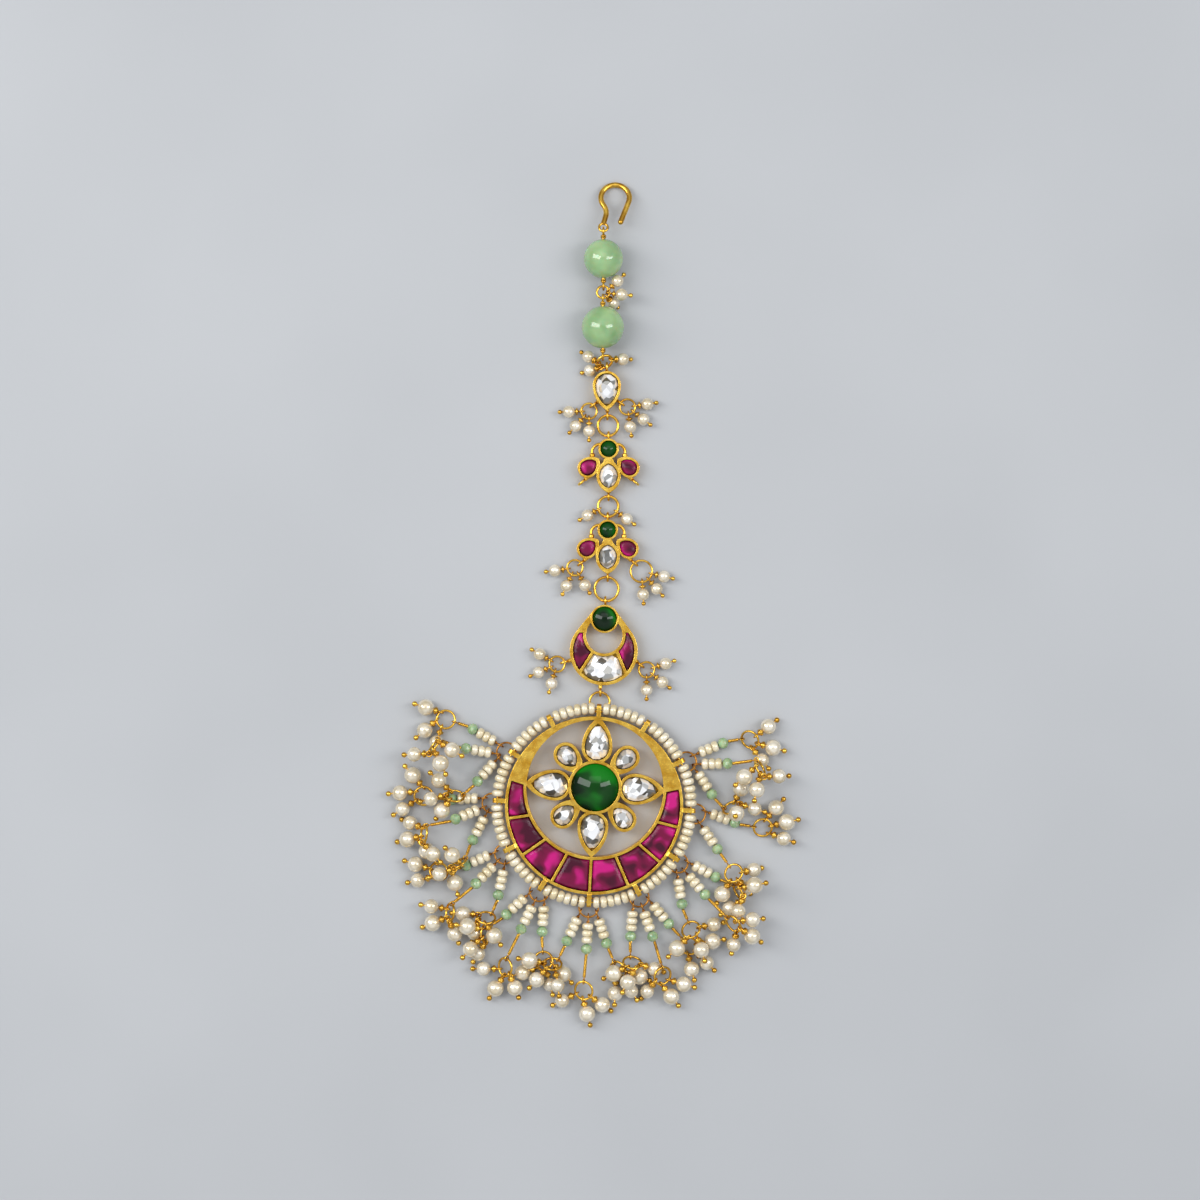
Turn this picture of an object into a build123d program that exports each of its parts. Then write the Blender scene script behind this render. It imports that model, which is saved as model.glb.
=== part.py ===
from build123d import *
import os
from math import asin, atan2, cos, degrees, radians, sin, sqrt

import numpy as np

# A maang tikka (forehead ornament) lying face up: hair hook, two jade beads, a drop, two butterfly
# links, a crescent link and a pierced disc with a fringe of pearls. Millimetres. The backs of the
# settings lie on z = 0, the hook points along +Y, and the origin is the disc's centre on its back.

# ---- gaps and wires ----
CLEAR = 0.1            # between a stone and its setting, a bead and its wire
LINK_R = 0.25          # wire radius of the chain's jump rings
THIN_LINK_R = 0.21     # and of the two that pass through the smallest holes
EYE_R = 0.22           # wire radius of the soldered eyes
EYE_MAJOR = 0.64       # centre-line radius of a soldered eye
LINK_Z = 0.95          # height of a jump ring that lies flat
PLATE = 1.1            # solid back under every stone

# ---- disc ----
DISC_LEAN = 3.0        # degrees that the disc leans clockwise
DISC_R = 15.6
DISC_T = 3.2
HOLE_R = 12.0          # the pierced round, set towards the top
HOLE_UP = 3.0
BEZEL = 0.5            # bezel walls
CELLS = 8
CELL_SPAN = 104.7      # degrees either side of the bottom that the cells fill
LUGS = 12
LUG_T = 0.8
LUG_END = 17.8
RIM_R = 17.0           # line of the rim's seed beads
RIM_Z = 2.48
SEED_R = 1.1
SEED_LENGTH = 1.2
SEED_WIRE_R = 0.15
HOOP_HOLE_R = 16.35    # where the lugs' lower holes are
HOOP_Z = 1.04

# ---- flower ----
FLOWER_UP = 3.2
EMERALD_R = 4.1
PETAL_W = 5.4
PETAL_TIP = 12.3       # from the flower's centre to a pointed petal's tip
PETAL_ROOT = 4.2
SMALL_W = 4.3
SMALL_END = 9.8        # from the flower's centre to a rounded petal's outer end
SMALL_ROOT = 3.4

# ---- chain: height up the chain (y) and place across it (x) of each link ----
CRESCENT = (1.7, 27.0)
BUTTERFLY_2 = (2.4, 45.6)
BUTTERFLY_1 = (2.55, 59.8)
DROP = (2.25, 72.6)
LOWER_BEAD = (1.55, 83.7)
UPPER_BEAD = (1.65, 95.7)
LOWER_BEAD_R = 3.72
UPPER_BEAD_R = 3.45
BEAD_WIRE_R = 0.3
BEAD_LOOP_UP = 1.35     # from a bead's surface to the centre of its wire's loop
HOOK_WIRE_R = 0.48
HOOK_BEND_R = 2.5
HOOK_TIP = 4.1         # straight free end

# ---- pearls and their pins ----
PIN_LOOP = 0.5         # centre-line radius of a pin's loop
PIN_R = 0.15
BALL_R = 0.48
CLUSTER_PEARL_R = 1.1
CLUSTER_RING = 1.35    # centre-line radius of the small rings that carry pearls
CLUSTER_RING_R = 0.2

# ---- fringe ----
HOOP_MAJOR = 1.7
HOOP_R = 0.17
STRAND_LOOP = 0.6
BEADS_START = 1.05     # from a strand's loop to its first bead
BEADS_LENGTH = 5.5     # three seed beads and a green bead
STRAND_R = 1.02
STRAND_LENGTH = 9.2    # from loop to the ring below
LONG_STRAND = 11.3     # the middle strand of each group hangs longer
FRINGE_RING = 1.6
FRINGE_RING_R = 0.21
FRINGE_PEARLS = (1.42, 1.3, 1.5)
PIN_TO_PEARL = 2.75


# ---------------------------------------------------------------- small helpers
def up(angle, radius):
    """Point at a clockwise angle from +Y, in degrees, at a radius."""
    return radius * sin(radians(angle)), radius * cos(radians(angle))


def save(name, shape):
    export_step(shape, f"parts/{name}.step")


def wall(face, bottom, top):
    """Solid between two heights over a flat outline."""
    return extrude(Pos(0, 0, bottom) * face, amount=top - bottom)


def pear(width, round_end, tip):
    """Outline along +Y: a half circle below round_end's widest line, two arcs up to a point."""
    half = width / 2
    rise = tip - round_end
    radius = (rise**2 + half**2) / width
    turn = atan2(rise, radius - half) / 2
    bulge_x = half - radius + radius * cos(turn)
    bulge_y = round_end + radius * sin(turn)
    outline = [
        ThreePointArc((-half, round_end), (0, round_end - half), (half, round_end)),
        ThreePointArc((half, round_end), (bulge_x, bulge_y), (0, tip)),
        ThreePointArc((0, tip), (-bulge_x, bulge_y), (-half, round_end)),
    ]
    return make_face(Curve() + outline)


def marquise(width, bottom, top):
    """Outline along +Y with a point at both ends."""
    half = width / 2
    rise = (top - bottom) / 2
    middle = (top + bottom) / 2
    outline = [
        ThreePointArc((0, bottom), (half, middle), (0, top)),
        ThreePointArc((0, top), (-half, middle), (0, bottom)),
    ]
    return make_face(Curve() + outline) if rise > half else Circle(half)


def torus_at(centre, normal, major, minor):
    return Plane(origin=centre, z_dir=normal) * Torus(major, minor)


def rod(start, end, radius):
    """Round bar between two points."""
    start, end = Vector(*start), Vector(*end)
    along = end - start
    return Plane(origin=start, z_dir=along) * Cylinder(
        radius, along.length, align=(Align.CENTER, Align.CENTER, Align.MIN)
    )


def eye(point, heading, back=0.0, height=LINK_Z):
    """Soldered eye that stands upright in the line of its heading, with a post towards the setting."""
    x, y = point
    out = up(heading, 1)
    normal = (out[1], -out[0], 0)
    ring = torus_at((x, y, height), normal, EYE_MAJOR, EYE_R)
    post_end = (x - out[0] * (EYE_MAJOR + back), y - out[1] * (EYE_MAJOR + back), height)
    post_start = (x - out[0] * EYE_MAJOR, y - out[1] * EYE_MAJOR, height)
    return ring + rod(post_start, post_end, 0.36) if back else ring


def jump_ring(start, end, wire=LINK_R):
    """Ring whose wire passes through two points, level from side to side."""
    start, end = Vector(*start), Vector(*end)
    along = end - start
    across = Vector(along.Y, -along.X, 0)
    return torus_at((start + end) / 2, across.cross(along), along.length / 2, wire)


# ---------------------------------------------------------------- stones
def polki(face, bottom, girdle, top, table=0.5, sides=12):
    """Cut stone over an outline: upright girdle, one facet to each side of the crown, flat table."""
    rim = face.face().outer_wire()
    corners = [rim.position_at(step / sides) for step in range(sides)]
    middle = face.face().center()
    girdle_face = make_face(Polyline(*corners, close=True))
    crown = [middle + (corner - middle) * table for corner in corners]
    table_face = make_face(Polyline(*crown, close=True))
    body = wall(girdle_face, bottom, girdle)
    return body + loft([Pos(0, 0, girdle) * girdle_face, Pos(0, 0, top) * table_face], ruled=True)


def flat_cabochon(face, bottom, top, bevel=0.3):
    """Polished flat stone with a bevelled upper edge."""
    stone = wall(face, bottom, top)
    return chamfer(stone.faces().sort_by(Axis.Z)[-1].edges(), bevel)


def dome(radius, bottom, girdle, rise):
    """Round cabochon: short girdle and a spherical crown."""
    ball = (radius**2 + rise**2) / (2 * rise)
    crown = Pos(0, 0, girdle + rise - ball) * Sphere(ball)
    above = Pos(0, 0, girdle) * Cylinder(radius, rise, align=(Align.CENTER, Align.CENTER, Align.MIN))
    base = Pos(0, 0, bottom) * Cylinder(
        radius, girdle - bottom, align=(Align.CENTER, Align.CENTER, Align.MIN)
    )
    return base + (crown & above)


def bezel(outer, inner, height, plate=PLATE):
    """Cup over an outline: a closed back and a wall round the stone."""
    return wall(outer, 0, height) - wall(inner, plate, height + 1)


# ---------------------------------------------------------------- disc
def disc_cells():
    """The eight pockets of the crescent, as flat outlines from left to right round the bottom."""
    band = Circle(DISC_R - BEZEL) - Pos(0, HOLE_UP) * Circle(HOLE_R + BEZEL)
    step = 2 * CELL_SPAN / CELLS
    cells = []
    for number in range(CELLS):
        first = 180 + CELL_SPAN - number * step
        second = first - step
        wedge = make_face(Polyline(
            (0, 0), up(first, 2 * DISC_R), up((first + second) / 2, 2 * DISC_R), up(second, 2 * DISC_R),
            close=True,
        ))
        for side in (first, second):
            end = up(side, DISC_R)
            bar = Pos(end[0] / 2, end[1] / 2) * Rot(0, 0, -side) * Rectangle(BEZEL * 0.9, DISC_R * 1.2)
            wedge -= bar
        cells.append((band & wedge).faces().sort_by(SortBy.AREA)[-1])
    return cells


def petals(width, root, end, pointed):
    """Outline of one petal along +Y from the flower's centre, at full size and inside its bezel."""
    if pointed:
        outer = pear(width, root + width / 2, end)
        inner = pear(width - 2 * BEZEL, root + width / 2, end - 2.2 * BEZEL)
        return outer, inner
    outer = Rot(0, 0, 180) * pear(width, width / 2 - end, -root)
    inner = Rot(0, 0, 180) * pear(width - 2 * BEZEL, width / 2 - end, -root - 1.6)
    return outer, inner


def flower_petals():
    """Outer and inner outline of the eight petals, clockwise from the top."""
    pairs = []
    for number in range(8):
        if number % 2 == 0:
            outer, inner = petals(PETAL_W, PETAL_ROOT, PETAL_TIP, True)
        else:
            outer, inner = petals(SMALL_W, SMALL_ROOT, SMALL_END, False)
        place = Pos(0, FLOWER_UP) * Rot(0, 0, -45 * number)
        pairs.append((place * outer, place * inner))
    return pairs


def lug():
    """Pierced plate that stands on the rim: upper hole for the bead wire, lower hole for a ring."""
    foot = HOOP_HOLE_R + 0.7
    start = DISC_R - BEZEL
    upper = Pos((start + LUG_END) / 2, RIM_Z + 0.05) * RectangleRounded(LUG_END - start, 1.7, 0.6)
    lower = Pos((start + foot) / 2, HOOP_Z + 0.4) * RectangleRounded(foot - start, 2.1, 0.4)
    plate = upper + lower - Pos(RIM_R, RIM_Z) * Circle(SEED_WIRE_R + 0.15)
    plate -= Pos(HOOP_HOLE_R, HOOP_Z) * Circle(0.45)
    return extrude(Plane(origin=(0, 0, 0), x_dir=(0, 1, 0), z_dir=(1, 0, 0)) * plate, LUG_T / 2, both=True)


def disc_frame(cells, flower):
    ring = wall(Circle(DISC_R) - Pos(0, HOLE_UP) * Circle(HOLE_R), 0, DISC_T)
    for cell in cells:
        ring -= wall(cell, 1.4, DISC_T + 1)
    plates = Sketch() + [outer for outer, _ in flower]
    frame = ring + wall(plates & Pos(0, HOLE_UP) * Circle(HOLE_R + 0.2), 0, 2.8)
    centre = Pos(0, FLOWER_UP)
    frame += wall(centre * Circle(EMERALD_R + 0.6), 0, 3.3)
    for _, inner in flower:
        frame -= wall(inner, PLATE, DISC_T + 1)
    frame -= wall(centre * Circle(EMERALD_R + CLEAR), 1.4, DISC_T + 1)
    plate = lug()
    for number in range(LUGS):
        frame += Rot(0, 0, -360 / LUGS * number) * plate
    return frame


def build_disc():
    lean = Rot(0, 0, -DISC_LEAN)
    cells = disc_cells()
    flower = flower_petals()
    save("disc_frame", lean * disc_frame(cells, flower))
    for number, cell in enumerate(cells, 1):
        stone = flat_cabochon(offset(cell, -CLEAR), 1.4 + CLEAR, DISC_T - 0.1)
        save(f"disc_ruby_{number}", lean * stone)
    for number, (_, inner) in enumerate(flower, 1):
        stone = polki(offset(inner, -CLEAR), PLATE + CLEAR, 2.3, 3.1)
        save(f"petal_polki_{number}", lean * stone)
    emerald = Pos(0, FLOWER_UP) * dome(EMERALD_R, 1.4 + CLEAR, 3.1, 1.7)
    save("disc_emerald", lean * emerald)


def build_rim_string():
    """The string of seed beads: six rounded rings between each two lugs, on one closed wire."""
    bead = fillet(Cylinder(SEED_R, SEED_LENGTH).edges(), 0.35)
    bead = Pos(RIM_R, 0, RIM_Z) * Rot(90, 0, 0) * bead
    pitch = degrees((SEED_LENGTH + 0.07) / RIM_R)
    beads = []
    for lug_number in range(LUGS):
        middle = 90 - DISC_LEAN - 360 / LUGS * (lug_number + 0.5)
        beads += [Rot(0, 0, middle + pitch * (place - 2.5)) * bead for place in range(6)]
    wire = Pos(0, 0, RIM_Z) * Torus(RIM_R, SEED_WIRE_R)
    save("rim_seed_string", wire.fuse(*beads))


# ---------------------------------------------------------------- chain links
def build_crescent():
    """Crescent link: two round ends joined by straight sides, a round opening and four stones."""
    x, y = CRESCENT
    green = (x + 0.15, y + 5.7)
    outer_r, green_r, opening_r = 5.95, 2.47, 3.2
    big = Pos(x, y) * Circle(outer_r)
    small = Pos(*green) * Circle(green_r)
    outline = make_hull(big.edges() + small.edges())
    opening = Pos(x + 0.1, y + 2.8) * Circle(opening_r)
    band = Pos(x, y) * Circle(outer_r - 0.55) - Pos(x + 0.1, y + 2.8) * Circle(opening_r + 0.5)
    band -= Pos(x, y + 6.4) * Rectangle(14, 6.2)
    for lean, side in ((-33, -1), (22, 1)):
        band -= Pos(x + side * 3.15, y - 2.1) * Rot(0, 0, lean) * Rectangle(0.5, 6)
    stones = sorted(band.faces(), key=lambda face: face.area)[-3:]
    left, polki_face, right = sorted(stones, key=lambda face: face.center().X)
    setting = wall(outline - opening, 0, 2.5) + wall(small, 0, 2.9)
    for face in (left, polki_face, right):
        setting -= wall(face, PLATE, 4)
    setting -= wall(Pos(*green) * Circle(green_r - 0.4 + CLEAR), 1.4, 4)
    setting += eye((x + 0.3, y + 8.85), 0, 0.3)
    setting += eye((x - 0.6, y - 7.2), 180, 0.7)
    setting += eye((x - 6.9, y - 1.9), 254, 0.7)
    setting += eye((x + 6.5, y - 2.4), 130, 0.8)
    save("crescent_setting", setting)
    save("crescent_green", Pos(*green) * dome(green_r - 0.4, 1.4 + CLEAR, 2.6, 0.8))
    save("crescent_ruby_left", flat_cabochon(offset(left, -CLEAR), PLATE + CLEAR, 2.4, 0.2))
    save("crescent_ruby_right", flat_cabochon(offset(right, -CLEAR), PLATE + CLEAR, 2.4, 0.2))
    save("crescent_polki", polki(offset(polki_face, -CLEAR), PLATE + CLEAR, 1.9, 2.6))


def volute(side):
    """Curled wire from the round bezel outwards and down to a ball."""
    bend = 1.15
    path = Curve() + [
        Line((side * 1.2, 0.9, 0), (side * 1.7, 0.95, 0)),
        ThreePointArc((side * 1.7, 0.95, 0), (side * (1.7 + 0.95), 0.35, 0), (side * (1.7 + bend), -0.9, 0)),
    ]
    start = Plane(origin=path @ 0, z_dir=path % 0)
    wire = sweep(start * Circle(0.28), path=path)
    return wire + Pos(side * (1.7 + bend), -1.0, 0) * Sphere(0.5)


def build_butterfly(name, centre):
    """Butterfly link: green stone above, ruby wings, pointed stone below, curled feelers."""
    place = Pos(*centre)
    green_r, green_y = 1.8, 2.7
    wings = {}
    for side, label in ((-1, "left"), (1, "right")):
        turn = Pos(side * 3.45, -0.45) * Rot(0, 0, side * 52)
        wings[label] = (turn * pear(3.5, -0.3, 2.3), turn * pear(2.7, -0.3, 1.6))
    polki_outer, polki_inner = marquise(4.2, -5.0, 0.9), marquise(3.3, -4.2, 0.1)
    heart = Pos(0, 0.4) * Circle(0.9)
    setting = wall(Pos(0, green_y) * Circle(green_r) + heart, 0, 2.6)
    setting += wall(polki_outer, 0, 2.5)
    for outer, _ in wings.values():
        setting += wall(outer, 0, 2.3)
    for _, inner in wings.values():
        setting -= wall(inner, PLATE, 4)
    setting -= wall(polki_inner, PLATE, 4)
    setting -= wall(Pos(0, green_y) * Circle(green_r - 0.35), 1.3, 4)
    for side in (-1, 1):
        setting += Pos(0, green_y - 0.1, 1.5) * volute(side)
        setting += eye((side * 4.7, -3.1), side * 130, 0.9)
    setting += eye((0.0, green_y + green_r + 0.55), 0, 0.3)
    setting += eye((0.0, -5.6), 180, 0.4)
    save(f"{name}_setting", place * setting)
    stone = Pos(0, green_y) * dome(green_r - 0.35 - CLEAR, 1.3 + CLEAR, 2.4, 0.7)
    save(f"{name}_green", place * stone)
    for label, (_, inner) in wings.items():
        save(f"{name}_ruby_{label}", place * flat_cabochon(offset(inner, -CLEAR), PLATE + CLEAR, 2.4))
    save(f"{name}_polki", place * polki(offset(polki_inner, -CLEAR), PLATE + CLEAR, 2.1, 2.9))


def build_drop():
    """Drop: pear setting with its point down, eyes above, below and at both shoulders of the point."""
    place = Pos(*DROP)
    outer = Rot(0, 0, 180) * pear(4.9, -1.05, 3.4)
    inner = Rot(0, 0, 180) * pear(4.1, -1.05, 2.7)
    setting = bezel(outer, inner, 3.0, 1.4)
    setting += eye((0, 4.3), 0, 0.4, 1.9)
    setting += eye((0.1, -4.2), 180, 0.5)
    setting += eye((-2.35, -2.3), 235, 0.9)
    setting += eye((2.45, -2.0), 125, 0.9)
    save("drop_setting", place * setting)
    save("drop_stone", place * polki(offset(inner, -CLEAR), 1.5, 2.6, 3.5))


def bead_wire(centre, radius):
    """Wire through a bead, with a wrapped loop above and below."""
    x, y = centre
    wire = rod((x, y - radius - 0.8, radius), (x, y + radius + 0.8, radius), BEAD_WIRE_R)
    for side in (-1, 1):
        wire += torus_at((x, y + side * (radius + BEAD_LOOP_UP), radius), (1, 0, 0), 0.62, 0.2)
        for turn in range(2):
            place = (x, y + side * (radius + 0.25 + 0.29 * turn), radius)
            wire += torus_at(place, (0, 1, 0), 0.36, 0.14)
    return wire


def build_beads():
    for name, centre, radius in (
        ("lower", LOWER_BEAD, LOWER_BEAD_R),
        ("upper", UPPER_BEAD, UPPER_BEAD_R),
    ):
        middle = Pos(*centre, radius)
        bore = middle * Rot(90, 0, 0) * Cylinder(BEAD_WIRE_R + CLEAR, 3 * radius)
        save(f"jade_bead_{name}", middle * Sphere(radius) - bore)
        save(f"bead_wire_{name}", bead_wire(centre, radius))


def build_hook():
    """Question-mark hook: an eye, a short stem, a wide bend and a straight free end."""
    loop_y = UPPER_BEAD[1] + UPPER_BEAD_R + BEAD_LOOP_UP
    eye_r = 0.75
    eye_y = loop_y + eye_r
    x = UPPER_BEAD[0]
    stem = Line((x, eye_y + eye_r - 0.1, 0), (x + 0.4, eye_y + eye_r + 1.4, 0))
    neck = JernArc(start=stem @ 1, tangent=stem % 1, radius=2.6, arc_size=50)
    bend = JernArc(start=neck @ 1, tangent=neck % 1, radius=HOOK_BEND_R, arc_size=-235)
    tip = Line(bend @ 1, bend @ 1 + (bend % 1) * HOOK_TIP)
    path = Curve() + [stem, neck, bend, tip]
    start = Plane(origin=path @ 0, z_dir=path % 0)
    hook = sweep(start * Circle(HOOK_WIRE_R), path=path)
    hook += Pos(path @ 1) * Sphere(HOOK_WIRE_R)
    hook += torus_at((x, eye_y, 0), (0, 0, 1), eye_r, 0.22)
    far = hook.bounding_box().max.Y - HOOK_WIRE_R - loop_y
    fall = degrees(asin((UPPER_BEAD_R - HOOK_WIRE_R - 0.02) / far))
    save("hair_hook", Pos(0, loop_y, UPPER_BEAD_R) * Rot(-fall, 0, 0) * Pos(0, -loop_y, 0) * hook)


def chain_ring_ends():
    """Where each jump ring of the main chain passes through the eye below it and the eye above."""
    x, y = CRESCENT
    return {
        "ring_disc": ((*up(DISC_LEAN, HOOP_HOLE_R), HOOP_Z), (x - 0.6, y - 7.2, LINK_Z)),
        "ring_crescent": ((x + 0.3, y + 8.85, LINK_Z), (BUTTERFLY_2[0], BUTTERFLY_2[1] - 5.6, LINK_Z)),
        "ring_butterfly_2": (
            (BUTTERFLY_2[0], BUTTERFLY_2[1] + 5.05, LINK_Z),
            (BUTTERFLY_1[0], BUTTERFLY_1[1] - 5.6, LINK_Z),
        ),
        "ring_butterfly_1": (
            (BUTTERFLY_1[0], BUTTERFLY_1[1] + 5.05, LINK_Z),
            (DROP[0] + 0.1, DROP[1] - 4.2, LINK_Z),
        ),
        "ring_drop": (
            (DROP[0], DROP[1] + 4.3, 1.9),
            (LOWER_BEAD[0], LOWER_BEAD[1] - LOWER_BEAD_R - BEAD_LOOP_UP, LOWER_BEAD_R),
        ),
        "ring_beads": (
            (LOWER_BEAD[0], LOWER_BEAD[1] + LOWER_BEAD_R + BEAD_LOOP_UP, LOWER_BEAD_R),
            (UPPER_BEAD[0], UPPER_BEAD[1] - UPPER_BEAD_R - BEAD_LOOP_UP, UPPER_BEAD_R),
        ),
    }


def build_chain_rings():
    for name, (low, high) in chain_ring_ends().items():
        thin = name in ("ring_disc", "ring_beads")
        save(name, jump_ring(low, high, THIN_LINK_R if thin else LINK_R))


# ---------------------------------------------------------------- fringe
# Each row is a group of strands on one lug: the lug (30 degrees apart, clockwise from the top), the
# heading of its middle strand, and for each strand its heading from there, the heading of the ring
# below it from the strand's own, and the height of its foot. Headings are clockwise from +Y.
GROUPS = (
    (2, 104, ((-18, 0, 1.1), (0, 12, 2.2), (19, 5, 1.1))),
    (3, 126, ((-12, -10, 1.2), (13, 15, 1.6))),
    (4, 141, ((-19, 30, 1.1), (0, 0, 2.6), (18, 10, 1.1))),
    (5, 163, ((-19, -12, 1.1), (0, 0, 2.6), (18, 10, 1.1))),
    (6, 183, ((-18, -8, 1.1), (0, 0, 2.6), (18, 8, 1.1))),
    (7, 205, ((-18, -10, 1.1), (0, 0, 2.8), (18, 10, 1.1))),
    (8, 224, ((-18, -10, 1.1), (0, 0, 3.2), (18, 10, 1.1))),
    (9, 245, ((-18, -28, 1.1), (0, -22, 3.4), (18, -18, 1.1))),
    (10, 262, ((-19, -28, 1.1), (0, -22, 3.0), (18, -18, 1.1))),
)
STRANDS = [
    (lug, heading, heading + turn, heading + turn + ring_turn, height)
    for lug, heading, strands in GROUPS
    for turn, ring_turn, height in strands
]
PIN_SPREAD = (-58, 0, 58)      # where the three pins sit round a ring, from its outer point
LOOP_BALL = 0.5                # ball that keeps other pieces off a pin's loop


def ring_weights(angle):
    """Shares of a ring's foot and its two outer marks that give the wire's point at an angle."""
    c, s = np.cos(angle), np.sin(angle)
    return np.stack([1 / 3 - 2 * c / 3, 1 / 3 + c / 3 + s / sqrt(3), 1 / 3 + c / 3 - s / sqrt(3)], -1)


def flat_heading(angle):
    return np.array([sin(radians(angle)), cos(radians(angle)), 0.0])


def hoop_layout():
    """Centre and outward heading of each small ring through a lug, turned towards its strands."""
    hoops = {}
    for number, mean, _ in GROUPS:
        outward = DISC_LEAN + 30 * number
        heading = outward + float(np.clip(mean - outward, -22, 22))
        start = flat_heading(outward) * HOOP_HOLE_R + np.array([0, 0, HOOP_Z])
        hoops[number] = start + flat_heading(heading) * HOOP_MAJOR
    return hoops


class Fringe:
    """Strands, rings and pins as points joined by rods, shaken down until nothing overlaps.

    A strand's points are its top, its foot on the ring's wire, two marks that fix the ring, and
    the three ball ends of its pins.
    """

    def __init__(self):
        self.hoops = hoop_layout()
        self.spread = np.radians(PIN_SPREAD)
        self.count = len(STRANDS)
        self.length = np.array([
            LONG_STRAND if row[1] == row[2] else STRAND_LENGTH for row in STRANDS
        ])
        self.pearl = np.array([
            [FRINGE_PEARLS[(number + 2 * pin) % 3] for pin in range(3)] for number in range(self.count)
        ])
        self.pin = PIN_TO_PEARL + self.pearl + CLEAR + BALL_R
        self.points = np.zeros((self.count, 7, 3))
        self.tangent = np.zeros((self.count, 3))
        for number, row in enumerate(STRANDS):
            self.place(number, *row)
        self.home = self.points.copy()
        self.make_spheres()

    def place(self, number, lug_number, mean, heading, ring_heading, height):
        """First guess of one strand, straight out from its small ring."""
        outward = DISC_LEAN + 30 * lug_number
        side = 40 if heading > mean else -40 if heading < mean else 0
        attach = outward + float(np.clip(heading + side - outward, -65, 65))
        top = self.hoops[lug_number] + flat_heading(attach) * HOOP_MAJOR
        self.tangent[number] = flat_heading(attach + 90)
        along = flat_heading(heading)
        foot = top + along * self.length[number]
        foot[2] = height
        ring = flat_heading(ring_heading)
        side = flat_heading(ring_heading + 90)
        middle = foot + ring * FRINGE_RING
        marks = [
            middle + FRINGE_RING * (0.5 * ring + sign * sqrt(0.75) * side) for sign in (1, -1)
        ]
        self.points[number, :4] = [top, foot, *marks]
        for pin, angle in enumerate(PIN_SPREAD):
            skew = 20 * sin(2.4 * number + 1.7 * pin)
            out = flat_heading(ring_heading + 0.9 * angle + skew) + np.array([0, 0, 0.25 * (pin - 1)])
            start = middle + FRINGE_RING * flat_heading(ring_heading + angle)
            self.points[number, 4 + pin] = start + out / np.linalg.norm(out) * self.pin[number, pin]

    def make_spheres(self):
        """Balls along every strand, ring and pin: shares of the seven points, and radii."""
        weights, radii, feet, kinds = [], [], [], []
        for number in range(self.count):
            rows, size, kind = [], [], []
            length = self.length[number]
            for distance in np.arange(BEADS_START + 0.5, BEADS_START + BEADS_LENGTH, 0.9):
                rows.append([1 - distance / length, distance / length, 0, 0, 0, 0, 0])
                size.append(STRAND_R)
                kind.append(1)
            for distance in np.arange(BEADS_START + BEADS_LENGTH + 0.2, length - 0.1, 0.5):
                rows.append([1 - distance / length, distance / length, 0, 0, 0, 0, 0])
                size.append(0.33)
                kind.append(1)
            for angle in np.radians(np.arange(0, 360, 20)):
                rows.append([0, *ring_weights(angle), 0, 0, 0])
                size.append(FRINGE_RING_R)
                kind.append(2)
            for pin in range(3):
                whole = self.pin[number, pin]
                steps = [(step, 0.3 if step < 1.3 else 0.2) for step in np.arange(0.9, whole - 0.5, 0.4)]
                steps += [(0, LOOP_BALL), (0.45, 0.42)]
                steps += [(PIN_TO_PEARL, self.pearl[number, pin]), (whole, BALL_R)]
                for distance, radius in steps:
                    share = distance / whole
                    row = [0, *(ring_weights(self.spread[pin]) * (1 - share)), 0, 0, 0]
                    row[4 + pin] = share
                    rows.append(row)
                    size.append(radius)
                    kind.append(3 + pin)
            weights.append(np.array(rows))
            radii.append(size)
            feet.append([PIN_LOOP + PIN_R if radius == LOOP_BALL else radius for radius in size])
            kinds.append(kind)
        self.weights = np.concatenate(weights)
        self.owner = np.repeat(np.arange(self.count), [len(rows) for rows in weights])
        self.radius = np.concatenate(radii)
        self.foot = np.concatenate(feet)
        kind = np.concatenate(kinds)
        self.kind = kind
        self.group = np.array([row[0] for row in STRANDS])[self.owner]
        self.power = (self.weights[:, 1:] ** 2).sum(1)
        same = self.owner[:, None] == self.owner[None, :]
        joined = (kind[:, None] == kind[None, :]) | (np.minimum(kind[:, None], kind[None, :]) == 2)
        joined |= (kind[:, None] == 1) & (kind[None, :] == 2)
        joined |= (kind[:, None] == 2) & (kind[None, :] == 1)
        first = np.arange(len(kind))
        self.allowed = (first[:, None] < first[None, :]) & ~(same & joined)

    def centres(self):
        return np.einsum("mk,mkc->mc", self.weights, self.points[self.owner])

    def push(self, ball, move, share):
        """Move the points behind some balls so that the balls move by the given amounts."""
        change = self.weights[ball][:, :, None] * (move / self.power[ball][:, None])[:, None, :]
        np.add.at(self.points, self.owner[ball], share * change)

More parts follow.
